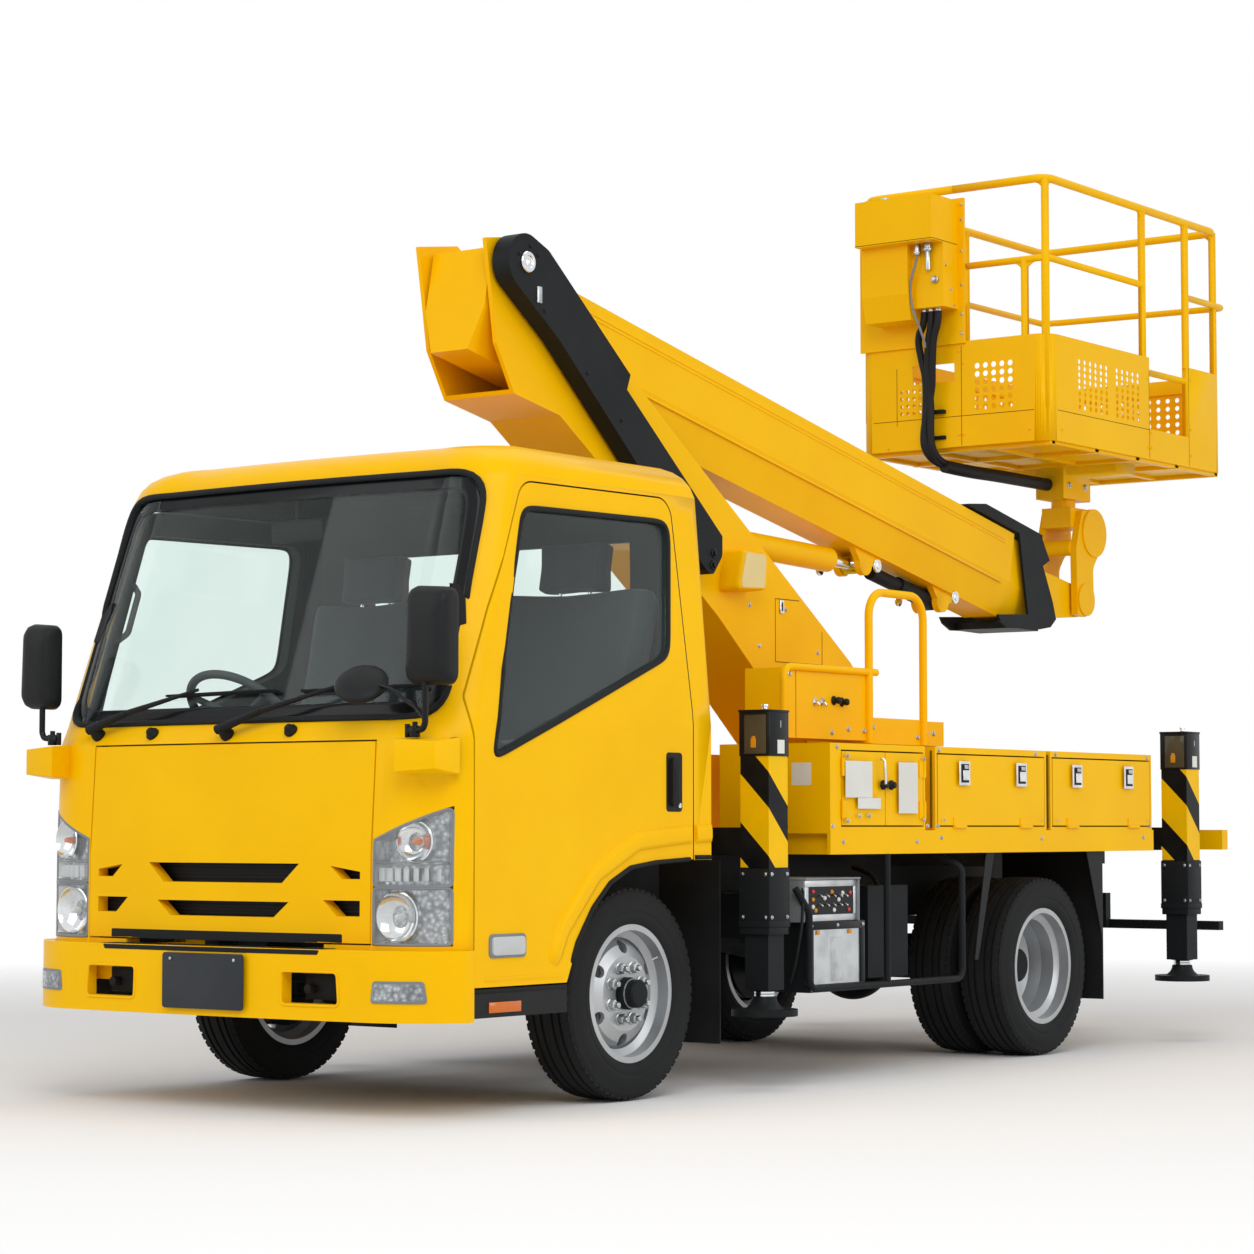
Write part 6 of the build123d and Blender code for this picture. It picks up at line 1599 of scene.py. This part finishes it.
class TRUCK_OT_basket_trim(bpy.types.Operator):
    """Rail gussets, floor ribs, seams, hoses and fittings of the work basket"""
    bl_idname = "truck.basket_trim"
    bl_label = "Basket trim"

    def execute(self, context):
        bm = bmesh.new()
        for x, y, ways, top in POST_ROWS:
            for way_x, way_y in ways:
                for foot, height, size in ((top - 10, -1, 66), (2826, 1, 36)):
                    if top != RAIL_Z and height == 1:
                        continue
                    outline = [(0, 0), (size, 0)] + [(size * (1 - math.sin(math.radians(angle))),
                        size * (1 - math.cos(math.radians(angle)))) for angle in (15, 30, 45, 60, 75)] + [(0, size)]
                    spots = [at(x + way_x * a, y + way_y * a, foot + height * b) for a, b in outline]
                    shift = Vector((abs(way_y), abs(way_x), 0)) * 0.008
                    add_plate(bm, [spot - shift / 2 for spot in spots], shift)
        shaped("rail_gussets", bm, "machinery_enamel_yellow", "basket", bevel=0.0015)
        ribs = [((-438, 438), (y - 16, y + 16), (2380, 2397)) for y in (3330, 3700, 4060, 4420, 4800)]
        ribs += [((x - 14, x + 14), (3320, 4810), (2382, 2397)) for x in (-424, -140, 140, 424)]
        boxes("basket_floor_ribs", ribs, "machinery_enamel_yellow", "basket")
        seams = [((449.4, 450.6), (4145, 4147.5), (2400, 2770)), ((449.4, 450.6), (3350, 4146), (2520, 2522.5)),
            ((449.4, 450.6), (4515, 4517.5), (2400, 2826))]
        shut_lines("basket_side_seams", seams, "basket")
        shut_lines("basket_front_seams", [((41, 43.5), (3279.4, 3280.6), (2400, 2810)),
            ((-380, 380), (3279.4, 3280.6), (2520, 2522.5)), ((-268, -265.5), (3279.4, 3280.6), (2500, 2740))],
            "basket")
        spots = on_left(450, ((4160, 2446), (4132, 2446), (4132, 2740), (4160, 2510), (4530, 2446), (4530, 2560),
            (4530, 2780), (3380, 2446)))
        spots += [((x, 3280, z), (0, -1, 0)) for x, z in ((-311, 2410), (52, 2446), (32, 2446), (52, 2740),
            (32, 2790), (360, 2446))]
        bolts("basket_bolts", spots, "machinery_enamel_yellow", "basket", size=0.7)
        # The control box: shut lines, clips and rivets
        shut_lines("control_box_lines", [((-331, 37), (3059.3, 3060.5), (3226, 3228.5)),
            ((36, 36.7), (3064, 3262), (3226, 3228.5))], "basket")
        boxes("control_box_clip", [((-240, -200), (3100, 3140), (3409, 3418)),
            ((-235, -205), (3108, 3132), (3417, 3428))], "zinc_plate", "basket", bevel=0.003)
        spots = [((x, 3266, z), (0, -1, 0)) for x, z in ((54, 3392), (54, 3330), (54, 3200), (54, 3060), (54, 2940),
            (54, 2860))]
        spots += [((35, 3210, 3036), (1, 0, 0)), ((35, 3235, 2975), (1, 0, 0)), ((35, 3170, 3130), (1, 0, 0))]
        bolts("control_panel_bolts", spots, "zinc_plate", "basket", size=0.6)
        rounds("hose_couplings", [((-72, 3128, 3222), (-72, 3128, 3176), 13),
            ((-72, 3128, 3190), (-72, 3128, 3182), 18), ((-24, 3128, 3222), (-24, 3128, 3186), 15),
            ((-24, 3128, 3200), (-24, 3128, 3190), 20), ((-24, 3128, 3186), (-24, 3132, 3110), 11),
            ((-45, 3190, 2962), (-45, 3190, 2946), 14), ((-12, 3190, 2962), (-12, 3190, 2946), 14),
            ((-78, 3190, 2962), (-78, 3190, 2946), 14)], "zinc_plate", "basket")
        bm = bmesh.new()
        add_lathe(bm, at(0, 3149, 3070), (0, -1, 0), ((0, 0.016), (0.006, 0.016), (0.009, 0.012), (0.02, 0.011),
            (0.022, 0.008)), 20)
        shaped("stop_button_base", bm, "zinc_plate", "basket")
        pipe("grey_cable", [(-72, 3128, 3184), (-76, 3122, 3140), (-98, 3120, 3090), (-108, 3128, 3020),
            (-96, 3132, 2940), (-80, 3160, 2880), (-70, 3190, 2800)], 5, "grey_trim_enamel", "basket",
            "bright_steel")
        strands = (((-78, 3190, 2948), (-78, 3190, 2900), (-118, 3200, 2850), (-108, 3212, 2760), (-88, 3216, 2680),
            (-92, 3222, 2560), (-104, 3228, 2460), (-96, 3236, 2390), (-66, 3290, 2330), (-40, 3420, 2312)),
            ((-45, 3190, 2948), (-45, 3190, 2900), (-62, 3196, 2840), (-74, 3204, 2750), (-72, 3212, 2660),
            (-68, 3222, 2560), (-76, 3228, 2450), (-72, 3238, 2380), (-52, 3296, 2326), (-30, 3420, 2312)),
            ((-12, 3190, 2948), (-12, 3190, 2900), (-40, 3196, 2846), (-52, 3206, 2740), (-58, 3216, 2640),
            (-84, 3224, 2560), (-112, 3230, 2450), (-110, 3240, 2380), (-80, 3300, 2326), (-36, 3440, 2312)),)
        for index, points in enumerate(strands):
            hose = pipe(f"basket_hose_{index}", points, 15, "hose_cover_rubber", "basket", sides=5)
            if index == 0:
                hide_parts("basket_hoses")
        pipe("hose_sleeve", [(-52, 3300, 2322), (-30, 3440, 2312), (-12, 3640, 2312), (-10, 3900, 2311),
            (-10, 4086, 2311)], 27, "hose_cover_rubber", "basket", sides=6)
        boxes("hose_clamp", [((-125, -30), (3252, 3280), (2536, 2552)), ((-125, -30), (3268, 3280), (2430, 2446))],
            "gasket_rubber", "basket", bevel=0.003)
        bolts("swing_box_bolts", [((67, 4210 + dy, 2310), (1, 0, 0)) for dy in (-70, 70)], "zinc_plate", "basket",
            size=1.3)
        return {"FINISHED"}


# Deck
DOOR_FACE_X = 899
LATCH_ROWS = {"front": (1827, 2233), "rear": (2655, 3066)}


class TRUCK_OT_locker_trim(bpy.types.Operator):
    """Latches of the tool bins, and the cabinet's rod, locks and blank labels"""
    bl_idname = "truck.locker_trim"
    bl_label = "Locker trim"

    def execute(self, context):
        for place, middles in LATCH_ROWS.items():
            for name, side in SIDES:
                body = f"bin_door_{place}_{name}"
                face = side * DOOR_FACE_X
                frames, wells, paddles, hooks = [], [], [], []
                for y in middles:
                    frames.append(((face, face + side * 3), (y - 37, y + 37), (988, 1074)))
                    wells.append(((face + side * 3, face + side * 3.6), (y - 27, y + 27), (998, 1064)))
                    paddles.append(((face + side * 3.6, face + side * 9), (y - 20, y + 20), (1006, 1042)))
                    hooks.append(((face + side * 3.6, face + side * 11), (y - 13, y + 13), (1046, 1060)))
                boxes(f"latch_frames_{place}_{name}", frames, "hard_chrome", body, bevel=0.0025)
                boxes(f"latch_wells_{place}_{name}", wells, "textured_abs", body, bevel=0)
                boxes(f"latch_paddles_{place}_{name}", paddles, "hard_chrome", body, bevel=0.002)
                boxes(f"latch_hooks_{place}_{name}", hooks, "zinc_plate", body, bevel=0.002)
                low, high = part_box(body)
                y0, y1 = (low.y - AXLE_Y) / MM, (high.y - AXLE_Y) / MM
                bolts(f"bin_door_screws_{place}_{name}",
                    [((face, y, z), (side, 0, 0)) for y, z in ((y0 + 24, 866), (y1 - 24, 866))], "zinc_plate", body,
                    size=0.45)
        boxes("cabinet_label_front", [((DOOR_FACE_X, DOOR_FACE_X + 0.7), (1047, 1215), (940, 1063)),
            ((DOOR_FACE_X, DOOR_FACE_X + 0.7), (1124, 1268), (903, 939))], "white_vinyl", "cabinet_door_front",
            bevel=0)
        boxes("cabinet_label_rear", [((DOOR_FACE_X, DOOR_FACE_X + 0.7), (1385, 1509), (888, 1063))], "white_vinyl",
            "cabinet_door_rear", bevel=0)
        pipe("cabinet_rod", [(898, 1270, 1072), (914, 1270, 1070), (914, 1278, 984), (898, 1278, 982)], 5,
            "hard_chrome", "cabinet_door_front", bend=10)
        for label, y, body in (("front", 1284, "cabinet_door_front"), ("rear", 1335, "cabinet_door_rear")):
            turned(f"cabinet_knob_{label}", at(898, y, 984), (1, 0, 0),
                ((0, 17), (5, 17), (8, 14), (14, 11), (18, 11), (20, 8)), 28, "textured_abs", body)
        bolts("cabinet_door_bolts", on_left(DOOR_FACE_X, ((1135, 879), (1194, 879), (1060, 862), (1060, 1080))),
            "zinc_plate", "cabinet_door_front", size=0.75)
        bolts("cabinet_hinge_bolts", on_left(DOOR_FACE_X, ((1553, 1078), (1553, 866))), "zinc_plate",
            "cabinet_door_rear", size=0.6)
        spots = []
        for side in (1, -1):
            for y, z in ((1012, 1109), (1672, 1109), (2360, 1109), (2510, 1109), (3240, 1109), (1685, 804),
                    (3204, 801), (1050, 792), (1520, 792), (2400, 800), (984, 845), (1592, 845), (1660, 845),
                    (3255, 845)):
                if side == 1 or y > 1600:
                    spots.append(((side * (888 if z < 820 else 887), y, z), (side, 0, 0)))
        bolts("deck_bolts", spots, "zinc_plate", size=0.75)
        boxes("wall_label", [((734, 812), (970.4, 971.2), (981, 1056))], "white_vinyl", bevel=0)
        spans = []
        for side in (1, -1):
            for y in (1625, 2455):
                spans.append(((side * 880, side * 886.5), (y - 3, y + 3), (838, 1108)))
        shut_lines("locker_seams", spans)
        return {"FINISHED"}


# Jacks
JACK_X = 875


class TRUCK_OT_jack_trim(bpy.types.Operator):
    """Caps with smoked windows, guide shoes, chrome rings and foot cones of the four jacks"""
    bl_idname = "truck.jack_trim"
    bl_label = "Jack trim"

    def execute(self, context):
        for place, y in (("front", 597), ("rear", 3550)):
            for name, side in SIDES:
                label = f"{place}_{name}"
                x = side * JACK_X
                bm = bmesh.new()
                add_tube(bm, x, y, 58, 54.5, 1069, 1212)
                add_box(bm, at(x - 60, y - 60, 1211), at(x + 60, y + 60, 1219))
                shaped(f"jack_cap_{label}", bm, "gloss_enamel_black", bevel=0.002)
                bm = bmesh.new()
                add_tube(bm, x, y, 59, 55.5, 534, 708)
                add_tube(bm, x, y, 60.5, 55.5, 520, 540)
                add_tube(bm, x, y, 57, 50, 497, 520)
                shaped(f"jack_guide_{label}", bm, "chassis_enamel_black", bevel=0.0015)
                x_pair = sorted((x - side * 37, x + side * 49))
                boxes(f"jack_window_{label}", [(x_pair, (y - 59.5, y - 57.5), (1077, 1203)),
                    (x_pair, (y + 57.5, y + 59.5), (1077, 1203))], "smoked_panel", bevel=0.0008)
                frame = []
                for edge in (-1, 1):
                    y_pair = (y + edge * 57.5, y + edge * 61)
                    frame += [(x_pair, y_pair, (1203, 1209)), (x_pair, y_pair, (1071, 1077)),
                        ((x_pair[0] - 6, x_pair[0]), y_pair, (1071, 1209)),
                        ((x_pair[1], x_pair[1] + 6), y_pair, (1071, 1209))]
                boxes(f"jack_window_frame_{label}", frame, "gloss_enamel_black", bevel=0.001)
                boxes(f"jack_bulb_{label}", [((x - 10, x + 10), (y - 63, y - 59), (1096, 1126)),
                    ((x - 7, x + 7), (y - 62, y - 59), (1122, 1134))], "amber_plastic", bevel=0.003)
                rounds(f"jack_knob_{label}", [((x + side * 30, y - 38, 1218), (x + side * 30, y - 38, 1228), 8),
                    ((x + side * 30, y - 38, 1228), (x + side * 30, y - 38, 1236), 11)], "hard_chrome")
                face = x + side * 58
                boxes(f"jack_sticker_{label}", [((face, face + side * 0.6), (y - 8, y + 32), (1078, 1122))],
                    "white_vinyl", "truck", "black_plastic", bevel=0)
                boxes(f"jack_slot_{label}", [((face, face + side * 0.8), (y + 8, y + 13), (1162, 1184))],
                    "zinc_plate", bevel=0)
                spots = [((x + side * 59, y + dy, z), (side, 0, 0)) for dy in (-44, 44) for z in (552, 690)]
                spots += [((x + dx, y - 59, z), (0, -1, 0)) for dx in (-44, 44) for z in (552, 690)]
                bolts(f"jack_bolts_{label}", spots, "zinc_plate", size=0.6)
                leg = f"jack_{place}_{name}"
                turned(f"jack_foot_cone_{label}", at(x, y, 0), (0, 0, 1),
                    ((255, 66), (262, 58), (272, 47), (284, 41), (296, 39), (297, 36)), 40, "chassis_enamel_black",
                    leg, smooth_deg=50)
                bm = bmesh.new()
                for z in (298, 306.5):
                    add_lathe(bm, at(x, y, 0), (0, 0, 1),
                        metres(((z, 30), (z + 0.5, 33.5), (z + 6.5, 33.5), (z + 7, 30))), 40)
                shaped(f"jack_ring_{label}", bm, "hard_chrome", leg)
                turned(f"jack_collar_{label}", at(x, y, 0), (0, 0, 1), ((316, 41), (318, 43), (330, 43), (333, 40)),
                    40, "chassis_enamel_black", leg)
        return {"FINISHED"}


# Side equipment
class TRUCK_OT_side_trim(bpy.types.Operator):
    """Faces of the switch box and the battery box, sill ends and reflectors"""
    bl_idname = "truck.side_trim"
    bl_label = "Side equipment trim"

    def execute(self, context):
        boxes("switch_box_roof", [((640, 886), (824, 1160), (667, 673))], "grey_trim_enamel", "truck", "silver_rim",
            bevel=0.001)
        boxes("switch_box_sides", [((640, 876), (826, 832), (528, 668)), ((640, 884), (1150, 1156), (528, 668))],
            "grey_trim_enamel", "truck", "silver_rim", bevel=0.001)
        frame_on_side("switch_box_frame", 872, 5, (832, 1150), (530, 666), 22, "aluminium_sheet")
        boxes("switch_box_panel", [((872, 874), (852, 1130), (550, 646))], "gloss_enamel_black", "truck",
            "black_plastic", bevel=0)
        spots = {"red_button": ((1110, 622), (1102, 566), (884, 628)),
            "amber_plastic": ((884, 602), (900, 566), (998, 626)),
            "white_vinyl": ((884, 578), (955, 606), (1040, 600), (1012, 566), (1064, 622))}
        for material, rows in spots.items():
            bm = bmesh.new()
            for y, z in rows:
                add_lathe(bm, at(873, y, z), (1, 0, 0),
                    ((0, 0.0075), (0.003, 0.0075), (0.006, 0.005), (0.007, 0.002)), 16)
            shaped(f"switch_box_{material}s", bm, material, "truck", "lamp_lens", smooth_deg=60)
        rounds("switch_box_toggles", [((873, y, z), (888, y, z - 8), 3.2) for y in (925, 965, 1005, 1045, 1078)
            for z in (588, 618)], "zinc_plate", sides=10)
        frame_on_side("battery_box_frame", 876, 7, (850, 1190), (297, 528), 26, "gloss_enamel_black")
        boxes("battery_box_panel", [((876, 878), (874, 1168), (318, 505))], "aluminium_sheet", bevel=0)
        boxes("battery_box_sheet", [((878, 878.6), (985, 1062), (330, 478))], "zinc_plate", "truck", "silver_rim",
            bevel=0)
        bolts("battery_box_bolts", [((883, y, z), (1, 0, 0)) for y in (863, 1020, 1177) for z in (308, 516)],
            "zinc_plate", size=0.55)
        boxes("battery_box_catches", [((878, 882), (y - 9, y + 9), (486, 500)) for y in (905, 1100)],
            "amber_plastic", "truck", "bright_steel", bevel=0.001)
        for name, side in SIDES:
            boxes(f"sill_reflector_{name}", [((side * 843, side * 846), (-775, -626), (305, 336))], "amber_lens",
                bevel=0.002)
            boxes(f"sill_lip_{name}", [((side * 838, side * 845), (-846, -412), (362, 374))], "gasket_rubber",
                bevel=0.002)
        pipe("air_line", [(870, 830, 640), (884, 812, 560), (872, 806, 470), (850, 812, 380), (820, 830, 330)], 5,
            "hose_cover_rubber")
        pipe("tank_line", [(640, 1500, 700), (700, 1480, 690), (760, 1460, 660), (780, 1450, 620)], 9,
            "hose_cover_rubber")
        return {"FINISHED"}


class TRUCK_PT_panel(bpy.types.Panel):
    """Every step of the truck's finish"""
    bl_idname = "TRUCK_PT_panel"
    bl_label = "Cherry picker truck"
    bl_space_type = "VIEW_3D"
    bl_region_type = "UI"
    bl_category = "Truck"

    def draw(self, context):
        layout = self.layout
        for settings in (context.scene.truck_stage, context.scene.truck_cab, context.scene.truck_wheels):
            for key in settings.bl_rna.properties.keys():
                if key not in ("rna_type", "name"):
                    layout.prop(settings, key)
        for step in STEPS:
            layout.operator(step.bl_idname)


STEPS = (TRUCK_OT_stage, TRUCK_OT_finish, TRUCK_OT_tyres, TRUCK_OT_wheel_fittings, TRUCK_OT_glazing_rubber,
    TRUCK_OT_wipers, TRUCK_OT_door_trim, TRUCK_OT_cab_ears, TRUCK_OT_mirrors, TRUCK_OT_headlamps,
    TRUCK_OT_front_fittings, TRUCK_OT_seats, TRUCK_OT_boom_trim, TRUCK_OT_column_trim, TRUCK_OT_basket,
    TRUCK_OT_basket_trim, TRUCK_OT_locker_trim, TRUCK_OT_jack_trim, TRUCK_OT_side_trim,)
SETTINGS = (TruckStageSettings, TruckCabSettings, TruckWheelSettings)


def register():
    for item in SETTINGS + STEPS + (TRUCK_PT_panel,):
        bpy.utils.register_class(item)
    bpy.types.Scene.truck_stage = bpy.props.PointerProperty(type=TruckStageSettings)
    bpy.types.Scene.truck_cab = bpy.props.PointerProperty(type=TruckCabSettings)
    bpy.types.Scene.truck_wheels = bpy.props.PointerProperty(type=TruckWheelSettings)


def unregister():
    del bpy.types.Scene.truck_stage
    del bpy.types.Scene.truck_cab
    del bpy.types.Scene.truck_wheels
    for item in reversed(SETTINGS + STEPS + (TRUCK_PT_panel,)):
        bpy.utils.unregister_class(item)


def main():
    """Build every piece in order."""
    register()
    for step in STEPS:
        family, action = step.bl_idname.split(".")
        getattr(getattr(bpy.ops, family), action)()


if __name__ == "__main__":
    main()
